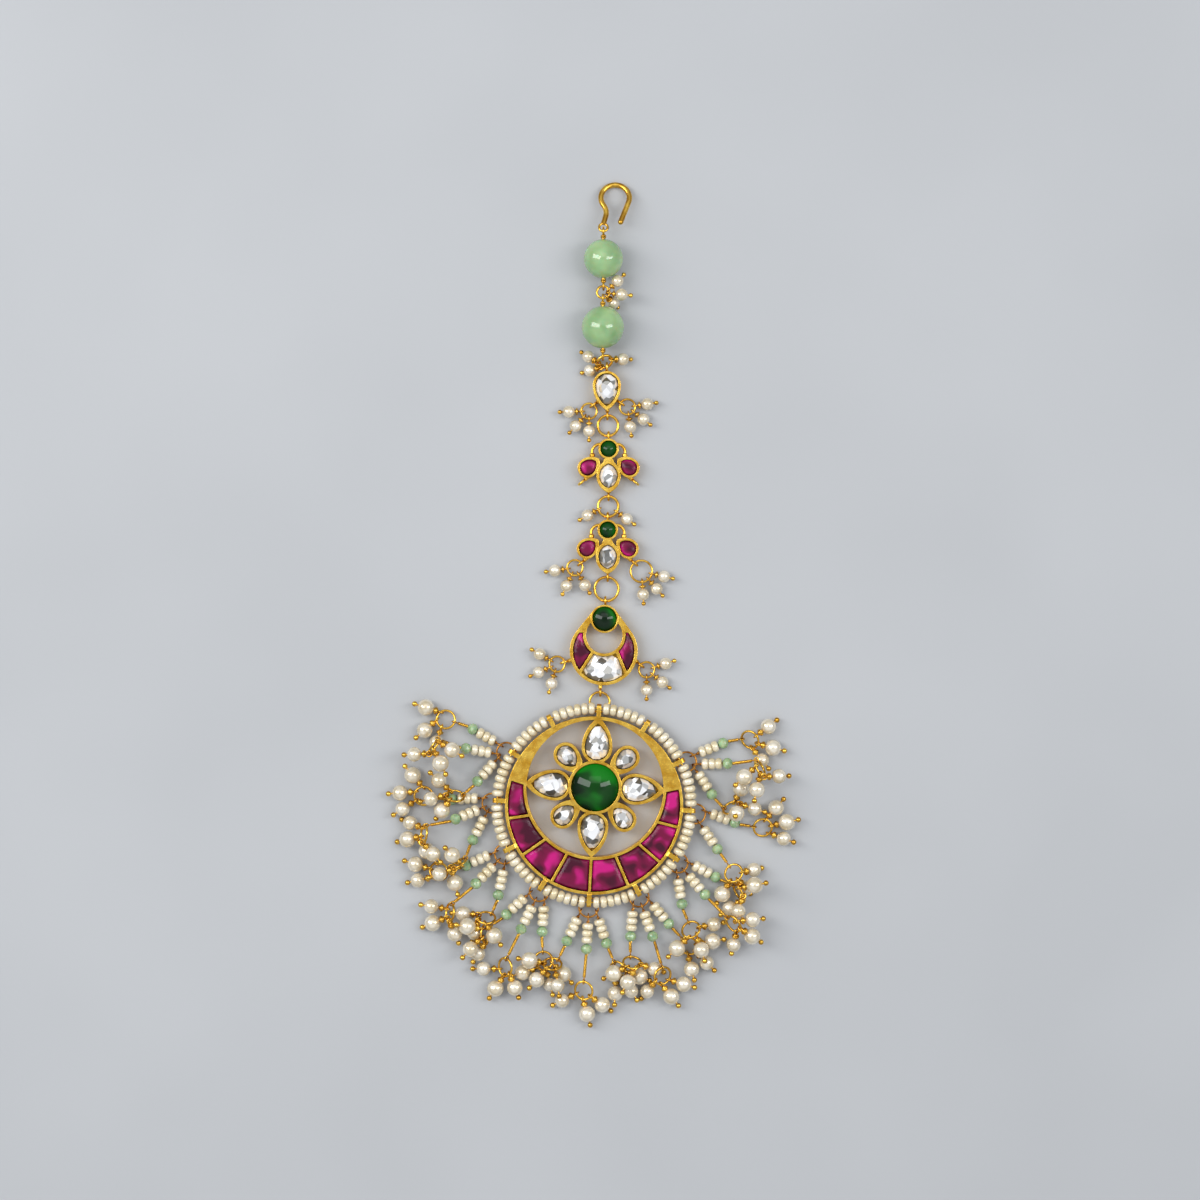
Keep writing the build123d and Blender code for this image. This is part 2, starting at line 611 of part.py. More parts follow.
    def part_balls(self, margin, rise):
        """Push overlapping balls apart, and all of them off the rim, the disc and the surface."""
        balls = self.centres()
        squared = (balls**2).sum(1)
        gap = squared[:, None] + squared[None, :] - 2 * balls @ balls.T
        reach = self.radius[:, None] + self.radius[None, :] + margin
        one, two = np.nonzero((gap < reach**2) & self.allowed)
        apart = balls[one] - balls[two]
        distance = np.linalg.norm(apart, axis=1) + 1e-9
        depth = reach[one, two] - distance
        move = apart / distance[:, None] * depth[:, None] / 2 * [1, 1, rise]
        self.push(one, move, 0.3)
        self.push(two, -move, 0.3)
        worst = depth.max(initial=0)
        across = np.hypot(balls[:, 0], balls[:, 1])
        outward = np.stack([balls[:, 0] / across, balls[:, 1] / across], 1)
        near = np.stack([across - RIM_R, balls[:, 2] - RIM_Z], 1)
        far = np.linalg.norm(near, axis=1)
        depth = SEED_R + self.radius + margin - far
        hit = np.nonzero(depth > 0)[0]
        step = near[hit] / far[hit, None] * depth[hit, None]
        self.push(hit, np.column_stack([outward[hit] * step[:, :1], step[:, 1]]), 0.5)
        for number, hoop in self.hoops.items():
            level = np.hypot(balls[:, 0] - hoop[0], balls[:, 1] - hoop[1]) + 1e-9
            near = np.stack([level - HOOP_MAJOR, balls[:, 2] - hoop[2]], 1)
            far = np.linalg.norm(near, axis=1) + 1e-9
            depth = HOOP_R + self.radius + margin - far
            depth[(self.group == number) & (self.kind == 1)] = 0
            hit = np.nonzero(depth > 0)[0]
            step = near[hit] / far[hit, None] * depth[hit, None]
            flat = (balls[hit, :2] - hoop[:2]) / level[hit, None] * step[:, :1]
            self.push(hit, np.column_stack([flat, step[:, 1]]), 0.4)
        inside = np.nonzero((across < RIM_R) & (balls[:, 2] < DISC_T + 0.4 + self.radius))[0]
        lift = DISC_T + 0.4 + self.radius[inside] - balls[inside, 2]
        self.push(inside, np.column_stack([0 * lift, 0 * lift, lift]), 0.3)
        low = np.nonzero(balls[:, 2] < self.foot + 0.02)[0]
        lift = self.foot[low] + 0.02 - balls[low, 2]
        self.push(low, np.column_stack([0 * lift, 0 * lift, lift]), 0.4)
        return worst

    def keep_lengths(self):
        """Hold every rod at its length, strand to pin, with the tops where they are."""
        points = self.points
        points[:, 0] = self.home[:, 0]
        along = points[:, 1] - points[:, 0]
        along /= np.linalg.norm(along, axis=1)[:, None]
        slip = (along * self.tangent).sum(1)
        along -= (slip - np.clip(slip, -0.6, 0.6))[:, None] * self.tangent
        along /= np.linalg.norm(along, axis=1)[:, None]
        foot = points[:, 0] + along * self.length[:, None]
        points[:, 2:] += 0.5 * (foot - points[:, 1])[:, None]
        points[:, 1] = foot
        middle = (points[:, 2] + points[:, 3]) / 2
        ring = middle - foot
        ring /= np.linalg.norm(ring, axis=1)[:, None]
        side = points[:, 2] - points[:, 3]
        side -= (side * ring).sum(1)[:, None] * ring
        side /= np.linalg.norm(side, axis=1)[:, None]
        slip = (side * along).sum(1)
        side -= (slip - np.clip(slip, -0.55, 0.55))[:, None] * along
        side /= np.linalg.norm(side, axis=1)[:, None]
        ring += np.clip(0.1 - (ring * along).sum(1), 0, 1)[:, None] * along
        ring -= (side * ring).sum(1)[:, None] * side
        ring /= np.linalg.norm(ring, axis=1)[:, None]
        points[:, 2] = foot + FRINGE_RING * (1.5 * ring + sqrt(0.75) * side)
        points[:, 3] = foot + FRINGE_RING * (1.5 * ring - sqrt(0.75) * side)
        for pin, angle in enumerate(self.spread):
            start = np.einsum("k,nkc->nc", ring_weights(angle), points[:, 1:4])
            outward = cos(angle) * ring + sin(angle) * side
            tangent = cos(angle) * side - sin(angle) * ring
            along = points[:, 4 + pin] - start
            along /= np.linalg.norm(along, axis=1)[:, None]
            slip = (along * tangent).sum(1)
            along -= (slip - np.clip(slip, -0.6, 0.6))[:, None] * tangent
            along += np.clip(0.2 - (along * outward).sum(1), 0, 1)[:, None] * outward
            along /= np.linalg.norm(along, axis=1)[:, None]
            points[:, 4 + pin] = start + along * self.pin[:, pin][:, None]

    def settle(self, rounds=300, calm=300):
        """Let the fringe sink and spread, then part what still overlaps without sinking further."""
        for number in range(rounds + calm):
            sinking = number < rounds
            if sinking:
                self.points[:, 1:, 2] -= 0.012
                self.points[:, 1:] += 0.01 * (self.home[:, 1:] - self.points[:, 1:]) * [1, 1, 0]
                self.points[:, 1] += 0.1 * (self.home[:, 1] - self.points[:, 1])
            worst = self.part_balls(0.12 if sinking else 0.16, 0.4 if sinking else 1.0)
            self.keep_lengths()
            if not sinking and worst < 0.02:
                break
        print("fringe settled after", number + 1, "rounds, deepest overlap left", round(worst, 3))
        return self


# ---------------------------------------------------------------- pearls, pins and strands
def placed(template, origin, along, across):
    """A template moved so that its x axis runs along one direction, its z axis towards another."""
    along = Vector(*along).normalized()
    across = Vector(*across)
    across = (across - along * across.dot(along)).normalized()
    return Plane(origin=Vector(*origin), x_dir=along, z_dir=across) * template


def coil(start, turns, radius, wire):
    """Close turns of wire wrapped round a stem that lies along x."""
    return [
        Pos(start + 2 * wire * 0.9 * turn, 0, 0) * Rot(0, 90, 0) * Torus(radius, wire)
        for turn in range(turns)
    ]


def pin_template(pearl_radius, to_pearl, ball_radius, turns=3):
    """Pin along x: a loop round the origin, turns of wrapping, a stem and a ball end."""
    reach = to_pearl + pearl_radius + CLEAR + ball_radius
    pin = Torus(PIN_LOOP, PIN_R) + rod((PIN_LOOP, 0, 0), (reach, 0, 0), PIN_R)
    for turn in coil(PIN_LOOP + PIN_R + 0.08, turns, 0.2, 0.1):
        pin += turn
    return pin + Pos(reach, 0, 0) * Sphere(ball_radius)


def pearl_template(radius, to_pearl):
    """Drilled round pearl, threaded on the x axis."""
    bore = Cylinder(PIN_R + CLEAR, 3 * radius)
    return Pos(to_pearl, 0, 0) * Rot(0, 90, 0) * (Sphere(radius) - bore)


def strand_template(length):
    """Strand along x: a loop round the origin, a tube where its beads are, wire down to the ring."""
    end = BEADS_START + BEADS_LENGTH
    strand = Torus(STRAND_LOOP, 0.14) + rod((STRAND_LOOP, 0, 0), (length, 0, 0), 0.12)
    strand += rod((BEADS_START, 0, 0), (end, 0, 0), STRAND_R)
    strand += rod((STRAND_LOOP + 0.1, 0, 0), (BEADS_START, 0, 0), 0.3)
    return strand + rod((end, 0, 0), (end + 1.0, 0, 0), 0.32)


def build_fringe():
    """Small rings through the lugs, strands, and pearls on their pins, in three runs of the fringe."""
    fringe = Fringe().settle()
    hoops = [torus_at(centre, (0, 0, 1), HOOP_MAJOR, HOOP_R) for centre in fringe.hoops.values()]
    save("fringe_hoops", Compound(hoops))
    strands = {length: strand_template(length) for length in (STRAND_LENGTH, LONG_STRAND)}
    pins = {radius: pin_template(radius, PIN_TO_PEARL, BALL_R) for radius in FRINGE_PEARLS}
    pearls = {radius: pearl_template(radius, PIN_TO_PEARL) for radius in FRINGE_PEARLS}
    runs = {"right": ([], [], []), "bottom": ([], [], []), "left": ([], [], [])}
    for number, row in enumerate(STRANDS):
        run = "right" if row[0] < 5 else "bottom" if row[0] < 8 else "left"
        strand_list, pin_list, pearl_list = runs[run]
        top, foot, mark_a, mark_b, *balls = fringe.points[number]
        body = placed(strands[fringe.length[number]], top, foot - top, fringe.tangent[number])
        marks = [np.einsum("k,kc->c", ring_weights(radians(angle)), fringe.points[number, 1:4])
                 for angle in range(0, 360, 90)]
        middle = (marks[0] + marks[2]) / 2
        normal = np.cross(marks[0] - middle, marks[1] - middle)
        strand_list.append(body + torus_at(middle, normal, FRINGE_RING, FRINGE_RING_R))
        for pin, angle in enumerate(fringe.spread):
            start = ring_weights(angle) @ fringe.points[number, 1:4]
            tangent = np.cross(start - middle, normal)
            radius = fringe.pearl[number, pin]
            pin_list.append(placed(pins[radius], start, balls[pin] - start, tangent))
            pearl_list.append(placed(pearls[radius], start, balls[pin] - start, tangent))
    for run, (strand_list, pin_list, pearl_list) in runs.items():
        save(f"fringe_strands_{run}", Compound(strand_list))
        save(f"fringe_pins_{run}", Compound(pin_list))
        save(f"fringe_pearls_{run}", Compound(pearl_list))


# Each row is a small ring on an eye of the chain: the eye, the ring's radius, its heading from the
# eye, and the headings of its pins.
CLUSTERS = (
    ((DROP[0] - 2.35, DROP[1] - 2.3), CLUSTER_RING, 215, (268, 222, 180)),
    ((DROP[0] + 2.45, DROP[1] - 2.0), CLUSTER_RING, 120, (82, 128, 172)),
    ((BUTTERFLY_2[0] - 4.7, BUTTERFLY_2[1] - 3.1), CLUSTER_RING, 232, (262, 205, 150)),
    ((BUTTERFLY_2[0] + 4.7, BUTTERFLY_2[1] - 3.1), 1.9, 140, (103, 139, 176)),
    ((CRESCENT[0] - 6.9, CRESCENT[1] - 1.9), CLUSTER_RING, 254, (300, 246, 196)),
    ((CRESCENT[0] + 6.5, CRESCENT[1] - 2.4), CLUSTER_RING, 130, (72, 128, 180)),
)
# Pins that hang on a jump ring of the chain: the ring, the place round it (from its lower eye, left
# is positive), heading and rise.
CHAIN_PINS = (
    ("ring_beads", -118, 45, -8),
    ("ring_beads", -80, 95, 0),
    ("ring_beads", -42, 130, -50),
    ("ring_drop", 108, 304, -25),
    ("ring_drop", 50, 255, -25),
    ("ring_drop", -85, 88, -28),
    ("ring_butterfly_2", 72, 240, 5),
    ("ring_butterfly_2", -60, 125, 5),
)
CLUSTER_RISE = 5
CLUSTER_TO_PEARL = 2.2
CLUSTER_BALL_R = 0.4


def ring_pin(low, high, place, heading, rise):
    """Origin, direction and ring tangent of a pin on a ring that passes through two points."""
    low, high = np.array(low), np.array(high)
    middle, down = (low + high) / 2, (low - high) / 2
    left = np.array([down[1], -down[0], 0])
    left *= np.linalg.norm(down) / np.linalg.norm(left)
    turn = radians(place)
    start = middle + cos(turn) * down + sin(turn) * left
    tangent = cos(turn) * left - sin(turn) * down
    return start, flat_heading(heading) + [0, 0, np.tan(radians(rise))], tangent


def cluster_layout():
    """The small rings, as their two ends, and every pin as (low, high, place, heading, rise)."""
    rings, pins = [], []
    for spot, radius, heading, headings in CLUSTERS:
        inner = np.array((*spot, LINK_Z))
        outer = inner + flat_heading(heading) * 2 * radius
        rings.append((outer, inner))
        pins += [(outer, inner, row - heading, row, CLUSTER_RISE) for row in headings]
    chain = chain_ring_ends()
    pins += [(*chain[name], place, heading, rise) for name, place, heading, rise in CHAIN_PINS]
    return rings, pins


def build_clusters():
    """Small pearl drops on the drop, on the lower butterfly, on the crescent and on chain rings."""
    pin = pin_template(CLUSTER_PEARL_R, CLUSTER_TO_PEARL, CLUSTER_BALL_R, 2)
    pearl = pearl_template(CLUSTER_PEARL_R, CLUSTER_TO_PEARL)
    rings, pins = cluster_layout()
    places = [ring_pin(*row) for row in pins]
    save("cluster_rings", Compound([jump_ring(low, high, CLUSTER_RING_R) for low, high in rings]))
    save("cluster_pins", Compound([placed(pin, *place) for place in places]))
    save("cluster_pearls", Compound([placed(pearl, *place) for place in places]))


if __name__ == "__main__":
    os.makedirs("parts", exist_ok=True)
    build_disc()
    build_rim_string()
    build_crescent()
    build_butterfly("butterfly_2", BUTTERFLY_2)
    build_butterfly("butterfly_1", BUTTERFLY_1)
    build_drop()
    build_beads()
    build_hook()
    build_chain_rings()
    build_fringe()
    build_clusters()
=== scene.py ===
"""Maang tikka: the finished look of a hair ornament that lies face up on a pale surface.

The ornament is a chain of small gem-set links that ends in a pierced, gem-set disc. The disc carries a
rim of seed beads and a fringe of pearl drops. Lengths are metres; sizes named *_mm are millimetres.
"""

import logging
import math
from dataclasses import dataclass, field
from enum import Enum
from typing import Any

import bpy
import numpy as np
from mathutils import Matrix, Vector

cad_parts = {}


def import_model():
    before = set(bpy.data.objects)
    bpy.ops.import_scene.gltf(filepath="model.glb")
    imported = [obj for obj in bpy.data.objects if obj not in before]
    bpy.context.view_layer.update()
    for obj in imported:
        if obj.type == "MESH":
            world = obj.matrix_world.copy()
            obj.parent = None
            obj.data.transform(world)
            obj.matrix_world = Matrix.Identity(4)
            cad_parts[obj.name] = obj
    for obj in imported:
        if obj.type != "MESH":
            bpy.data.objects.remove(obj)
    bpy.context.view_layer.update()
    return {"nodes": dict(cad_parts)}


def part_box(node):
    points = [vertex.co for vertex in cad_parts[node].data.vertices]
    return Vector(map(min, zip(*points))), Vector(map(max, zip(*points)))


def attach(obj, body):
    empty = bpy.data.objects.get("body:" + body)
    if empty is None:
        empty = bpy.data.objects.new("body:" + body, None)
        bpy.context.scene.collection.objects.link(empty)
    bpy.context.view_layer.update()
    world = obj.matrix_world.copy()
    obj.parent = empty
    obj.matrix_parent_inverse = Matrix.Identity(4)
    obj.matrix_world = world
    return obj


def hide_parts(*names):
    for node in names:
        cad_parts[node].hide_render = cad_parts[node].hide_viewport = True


LOG = logging.getLogger("maang_tikka")
MM = 0.001
BODY = "root"
SAME_PLACE = 0.001 * MM  # corners closer than this are one corner
MIX_FACTOR, MIX_A, MIX_B, MIX_RESULT = 0, 6, 7, 2  # socket numbers of a colour mix node

Material = bpy.types.Material
Socket = bpy.types.NodeSocket
Array = np.ndarray
Node = bpy.types.Node
NodeTree = bpy.types.NodeTree
Colour = tuple[float, float, float, float]


# ---- small tools
def linear(code: str) -> Colour:
    """Turn an sRGB hex colour into linear light.

    Args:
        code: a colour such as "#E2AE45".

    Returns:
        Red, green, blue and an alpha of 1.
    """
    channels = [int(code[place : place + 2], 16) / 255 for place in (1, 3, 5)]
    low = [value / 12.92 if value <= 0.04045 else ((value + 0.055) / 1.055) ** 2.4 for value in channels]
    return (low[0], low[1], low[2], 1.0)


def per_metre(size_mm: float) -> float:
    """Give the scale of a texture.

    Args:
        size_mm: width of the texture's features, in millimetres.

    Returns:
        The scale for coordinates in metres.
    """
    return 1 / (size_mm * MM)


def add_node(
    tree: NodeTree,
    kind: str,
    settings: dict[str, Any] | None = None,
    values: dict[str | int, Any] | None = None,
    links: dict[str | int, Socket] | None = None,
) -> Node:
    """Add one node to a tree, with its settings, socket values and incoming links.

    Args:
        tree: the material's or the geometry's tree.
        kind: the node's type.
        settings: the node's own properties.
        values: constants for its input sockets, by name or number.
        links: output sockets that feed its input sockets, by name or number.

    Returns:
        The new node.
    """
    node = tree.nodes.new(kind)
    for name, value in (settings or {}).items():
        setattr(node, name, value)
    for name, value in (values or {}).items():
        node.inputs[name].default_value = value
    for name, source in (links or {}).items():
        tree.links.new(source, node.inputs[name])
    return node


def add_noise(tree: NodeTree, place: Socket, size_mm: float, detail: float, stir: float = 0.0) -> Socket:
    """Add a noise texture.

    Args:
        tree: the tree.
        place: the coordinates.
        size_mm: width of its features, in millimetres.
        detail: how much finer noise it carries.
        stir: how far it is distorted.

    Returns:
        The socket that gives the noise.
    """
    values = {"Scale": per_metre(size_mm), "Detail": detail, "Distortion": stir}
    return add_node(tree, "ShaderNodeTexNoise", values=values, links={"Vector": place}).outputs["Fac"]


def add_ramp(
    tree: NodeTree, share: Socket, stops: tuple[tuple[float, Colour], ...], blend: str = "LINEAR"
) -> Socket:
    """Add a colour ramp.

    Args:
        tree: the tree.
        share: the socket that the ramp is read with.
        stops: positions from 0 up to 1, each with its colour.
        blend: how the ramp runs from one stop to the next.

    Returns:
        The socket that gives the colour.
    """
    node = add_node(tree, "ShaderNodeValToRGB", links={"Fac": share})
    node.color_ramp.interpolation = blend
    elements = node.color_ramp.elements
    while len(elements) < len(stops):
        elements.new(1.0)
    for number, (position, colour) in enumerate(stops):
        elements[number].position = position
        elements[number].color = colour
    return node.outputs["Color"]


def add_blend(
    tree: NodeTree, share: Socket, span: tuple[float, float], first: Colour, second: Colour | Socket
) -> Socket:
    """Add a blend of two colours.

    Args:
        tree: the tree.
        share: the socket that the blend is read with.
        span: values of the share at which the blend starts and ends.
        first: the colour at the start.
        second: the colour at the end, or the socket that gives it.

    Returns:
        The socket that gives the colour.
    """
    limits = {"From Min": span[0], "From Max": span[1]}
    factor = add_node(tree, "ShaderNodeMapRange", values=limits, links={"Value": share}).outputs["Result"]
    mix = add_node(tree, "ShaderNodeMix", {"data_type": "RGBA"}, {MIX_A: first}, {MIX_FACTOR: factor})
    if isinstance(second, tuple):
        mix.inputs[MIX_B].default_value = second
    else:
        tree.links.new(second, mix.inputs[MIX_B])
    return mix.outputs[MIX_RESULT]


# ---- finishes
@dataclass(frozen=True)
class Finish:
    """A surface: a colour that wanders towards a second one, over a fine texture.

    Attributes:
        name: what the surface is.
        colour: its main colour.
        second: the colour that it wanders towards.
        patch_mm: width of those colour patches.
        grain_mm: width of the fine surface texture.
        relief_mm: height of that texture.
        edge_mm: the radius to which the edges are rounded, or 0.
        sockets: constants for the shader's own inputs.
    """

    name: str
    colour: str
    second: str
    patch_mm: float = 2.0
    grain_mm: float = 0.3
    relief_mm: float = 0.01
    edge_mm: float = 0.0
    sockets: dict[str, float] = field(default_factory=dict)

    def colouring(self, tree: NodeTree, place: Socket) -> Socket:
        """Add the wandering of the colour.

        Args:
            tree: the material's tree.
            place: the object's own coordinates.

        Returns:
            The socket that gives the colour.
        """
        noise = add_noise(tree, place, self.patch_mm, 2.0)
        return add_blend(tree, noise, (0.35, 0.65), linear(self.colour), linear(self.second))

    def relief(self, tree: NodeTree, place: Socket) -> Socket:
        """Add the fine surface texture, and round the edges.

        Args:
            tree: the material's tree.
            place: the object's own coordinates.

        Returns:
            The socket that gives the normal.
        """
        values = {"Strength": 1.0, "Distance": self.relief_mm * MM}
        links = {"Height": add_noise(tree, place, self.grain_mm, 3.0)}
        if self.edge_mm:
            edge = add_node(tree, "ShaderNodeBevel", {"samples": 6}, {"Radius": self.edge_mm * MM})
            links["Normal"] = edge.outputs["Normal"]
        return add_node(tree, "ShaderNodeBump", values=values, links=links).outputs["Normal"]

    def make(self) -> Material:
        """Build the material.

        Returns:
            The material.
        """
        material = bpy.data.materials.new(self.name)
        material.use_nodes = True
        tree = material.node_tree
        shader = tree.nodes["Principled BSDF"]
        for name, value in self.sockets.items():
            shader.inputs[name].default_value = value
        place = add_node(tree, "ShaderNodeTexCoord").outputs["Object"]
        tree.links.new(self.colouring(tree, place), shader.inputs["Base Color"])
        tree.links.new(self.relief(tree, place), shader.inputs["Normal"])
        return material


@dataclass(frozen=True)
class MetalWithPaintedShade(Finish):
    """Plated metal with painted shade: its colour turns dark brown in the hollows that an ambient occlusion
    test finds.

    Attributes:
        shade_colour: the colour of the painted shade in the hollows.
        shade_reach_mm: how narrow a hollow gets the painted shade.
    """

    shade_colour: str = "#4A2A0C"
    shade_reach_mm: float = 0.8

    def colouring(self, tree: NodeTree, place: Socket) -> Socket:
        """Paint shade on the plating where it lies in a hollow.

        Args:
            tree: the material's tree.
            place: the object's own coordinates.

        Returns:
            The socket that gives the colour.
        """
        # Painted shade: the ambient occlusion test turns the colour dark brown in hollows.
        reach = {"Distance": self.shade_reach_mm * MM}
        openness = add_node(tree, "ShaderNodeAmbientOcclusion", {"samples": 6}, reach).outputs["AO"]
        polished = super().colouring(tree, place)
        return add_blend(tree, openness, (0.1, 0.5), linear(self.shade_colour), polished)


@dataclass(frozen=True)
class FoiledGlass(Finish):
    """Coloured glass over foil, with painted reflections: deep colour that flares bright in noise patches
    where the foil would mirror a light.

    Attributes:
        reflection_colour: the colour of the painted reflections.
        reflection_from: share of the noise above which the painted reflection shows.
    """

    reflection_colour: str = "#FFFFFF"
    reflection_from: float = 0.72

    def colouring(self, tree: NodeTree, place: Socket) -> Socket:
        """Paint the soft flares of light off the foil into the colour.

        Args:
            tree: the material's tree.
            place: the object's own coordinates.

        Returns:
            The socket that gives the colour.
        """
        noise = add_noise(tree, place, self.patch_mm, 0.0, 0.8)
        deep, middle, bright = linear(self.second), linear(self.colour), linear(self.reflection_colour)
        # Painted reflection: the highest noise patches get the bright flare colour.
        stops = ((0.3, deep), (0.5, middle), (self.reflection_from, bright))
        return add_ramp(tree, noise, stops, "EASE")


@dataclass(frozen=True)
class CutFoilGlass(Finish):
    """Clear cut glass over silver foil, with painted reflections: each facet is painted light or dark.

    Attributes:
        dim_reflection: the painted colour of the facets that would mirror nothing bright.
        facet_mm: width of a facet.
        tilt: how far a facet leans from the surface, as a share of 1.
    """

    dim_reflection: str = "#4C4A44"
    facet_mm: float = 1.1
    tilt: float = 0.55

    def facets(self, tree: NodeTree, place: Socket) -> Socket:
        """Split the surface into facets, each with a random colour.

        Args:
            tree: the material's tree.
            place: the object's own coordinates.

        Returns:
            The socket that gives the random colour.
        """
        values = {"Scale": per_metre(self.facet_mm)}
        return add_node(tree, "ShaderNodeTexVoronoi", values=values, links={"Vector": place}).outputs["Color"]

    def colouring(self, tree: NodeTree, place: Socket) -> Socket:
        """Paint each facet its own reflection, from dark to white.

        Args:
            tree: the material's tree.
            place: the object's own coordinates.

        Returns:
            The socket that gives the colour.
        """
        shade = add_node(tree, "ShaderNodeSeparateColor", links={"Color": self.facets(tree, place)})
        # Painted reflection: each facet gets a random brightness, from dark smoke through silver to white.
        stops = ((0.0, linear(self.dim_reflection)), (0.22, linear(self.second)), (0.55, linear(self.colour)))
        return add_ramp(tree, shade.outputs["Red"], stops)

    def relief(self, tree: NodeTree, place: Socket) -> Socket:
        """Lean each facet its own way.

        Args:
            tree: the material's tree.
            place: the object's own coordinates.

        Returns:
            The socket that gives the normal.
        """
        face = add_node(tree, "ShaderNodeNewGeometry").outputs["Normal"]
        steps = (
            ("SUBTRACT", {1: (0.5, 0.5, 0.5)}, {}),
            ("MULTIPLY_ADD", {1: (self.tilt, self.tilt, self.tilt)}, {2: face}),
            ("NORMALIZE", {}, {}),
        )
        normal = self.facets(tree, place)
        for operation, values, links in steps:
            settings = {"operation": operation}
            normal = add_node(tree, "ShaderNodeVectorMath", settings, values, {0: normal} | links).outputs[0]
        return normal


class Finishes:
    """Every finish of the ornament, made once."""

    def __init__(self) -> None:
        """Make the materials."""
        # Matt gold electroplate on cast brass: warm, softly brushed light, with painted shade in brown in the
        # corners.
        self.gold = MetalWithPaintedShade(
            "gold_plated_brass_satin", "#FFD25C", "#DDA636", patch_mm=1.6, grain_mm=0.3,
            relief_mm=0.03, edge_mm=0.12, sockets={"Metallic": 1.0, "Roughness": 0.27},
        ).make()
        # Drawn wire with bright plating: narrow hard highlights, with painted shade where turns touch.
        self.wire = MetalWithPaintedShade(
            "gold_plated_wire_polished", "#F6C755", "#C29032", patch_mm=1.4, grain_mm=0.5,
            relief_mm=0.004, shade_reach_mm=0.4, sockets={"Metallic": 1.0, "Roughness": 0.2},
        ).make()
        # Wrapped wire whose plating has toned to copper brown near the rim, with painted shade in its
        # hollows.
        self.toned = MetalWithPaintedShade(
            "toned_copper_wire", "#D99A44", "#96602A", patch_mm=0.9, grain_mm=0.4,
            relief_mm=0.005, shade_reach_mm=0.4, sockets={"Metallic": 1.0, "Roughness": 0.3},
        ).make()
        # Glass bead dipped in pearl lacquer: creamy, soft glow under a hard clear skin.
        self.pearl = Finish(
            "pearl_lacquered_bead", "#F0E7D3", "#D8C8A6", patch_mm=1.6, grain_mm=0.8, relief_mm=0.04,
            sockets={"Roughness": 0.22, "Metallic": 0.4, "Coat Weight": 1.0, "Coat Roughness": 0.03},
        ).make()
        # Lustre-glazed seed bead: ivory with a wet shine, each a shade apart.
        self.seed = Finish(
            "ivory_lustre_seed_bead", "#F2E8CE", "#DECDA4", patch_mm=2.2, grain_mm=0.8, relief_mm=0.01,
            sockets={"Roughness": 0.26, "Metallic": 0.25, "Coat Weight": 1.0, "Coat Roughness": 0.06},
        ).make()
        # Tumbled green aventurine: milky, pale, softly glossy facets.
        self.aventurine = Finish(
            "green_aventurine_bead", "#A6BF90", "#7D9C70", patch_mm=1.3, grain_mm=0.4, relief_mm=0.006,
            sockets={
                "Roughness": 0.16, "Subsurface Weight": 0.4, "Subsurface Scale": 0.001,
                "Coat Weight": 0.5, "Coat Roughness": 0.05,
            },
        ).make()
        # Polished jade-green stone: mint, lets light in, two clear window highlights.
        self.jade = Finish(
            "polished_mint_jade", "#9FC28A", "#86AB76", patch_mm=4.0, grain_mm=2.0, relief_mm=0.004,
            sockets={
                "Roughness": 0.07, "Subsurface Weight": 0.55, "Subsurface Scale": 0.003,
                "Coat Weight": 0.6, "Coat Roughness": 0.03,
            },
        ).make()
        # Pink-red glass over foil: deep magenta, with painted reflections in bright pink where the foil
        # flares.
        self.ruby = FoiledGlass(
            "foiled_ruby_glass", "#720238", "#430020", patch_mm=3.0, grain_mm=2.4, relief_mm=0.2,
            edge_mm=0.9, reflection_colour="#C01276",
            sockets={"Roughness": 0.06, "IOR": 1.4, "Coat Weight": 0.35, "Coat Roughness": 0.02},
        ).make()
        # Green glass cabochon over foil: nearly black green in the middle, bright at the painted reflections
        # of the foil.
        self.emerald = FoiledGlass(
            "foiled_emerald_glass", "#023C04", "#001A01", patch_mm=4.5, grain_mm=3.0, relief_mm=0.05,
            reflection_colour="#06720E", reflection_from=0.74,
            sockets={"Roughness": 0.04, "IOR": 1.3, "Coat Weight": 0.2, "Coat Roughness": 0.02},
        ).make()
        # Uncut-diamond style glass over silver foil: painted reflections in white, silver and smoke on small
        # facets.
        self.polki = CutFoilGlass(
            "foiled_polki_glass", "#FFFFFF", "#A4A4A0",
            sockets={"Metallic": 0.35, "Roughness": 0.08, "Coat Weight": 1.0, "Coat Roughness": 0.02},
        ).make()
        # Pale backing paper: matt, with no pattern.
        self.paper = Finish(
            "white_backing_paper", "#B4B6B8", "#B0B2B4", patch_mm=60.0, grain_mm=1.0, relief_mm=0.01,
            sockets={"Roughness": 0.85},
        ).make()


# ---- reading the solids
@dataclass
class Circle:
    """A ring's centre line.

    Attributes:
        centre: its centre.
        normal: unit vector square to its plane.
        radius: of its centre line.
    """

    centre: Array
    normal: Array
    radius: float


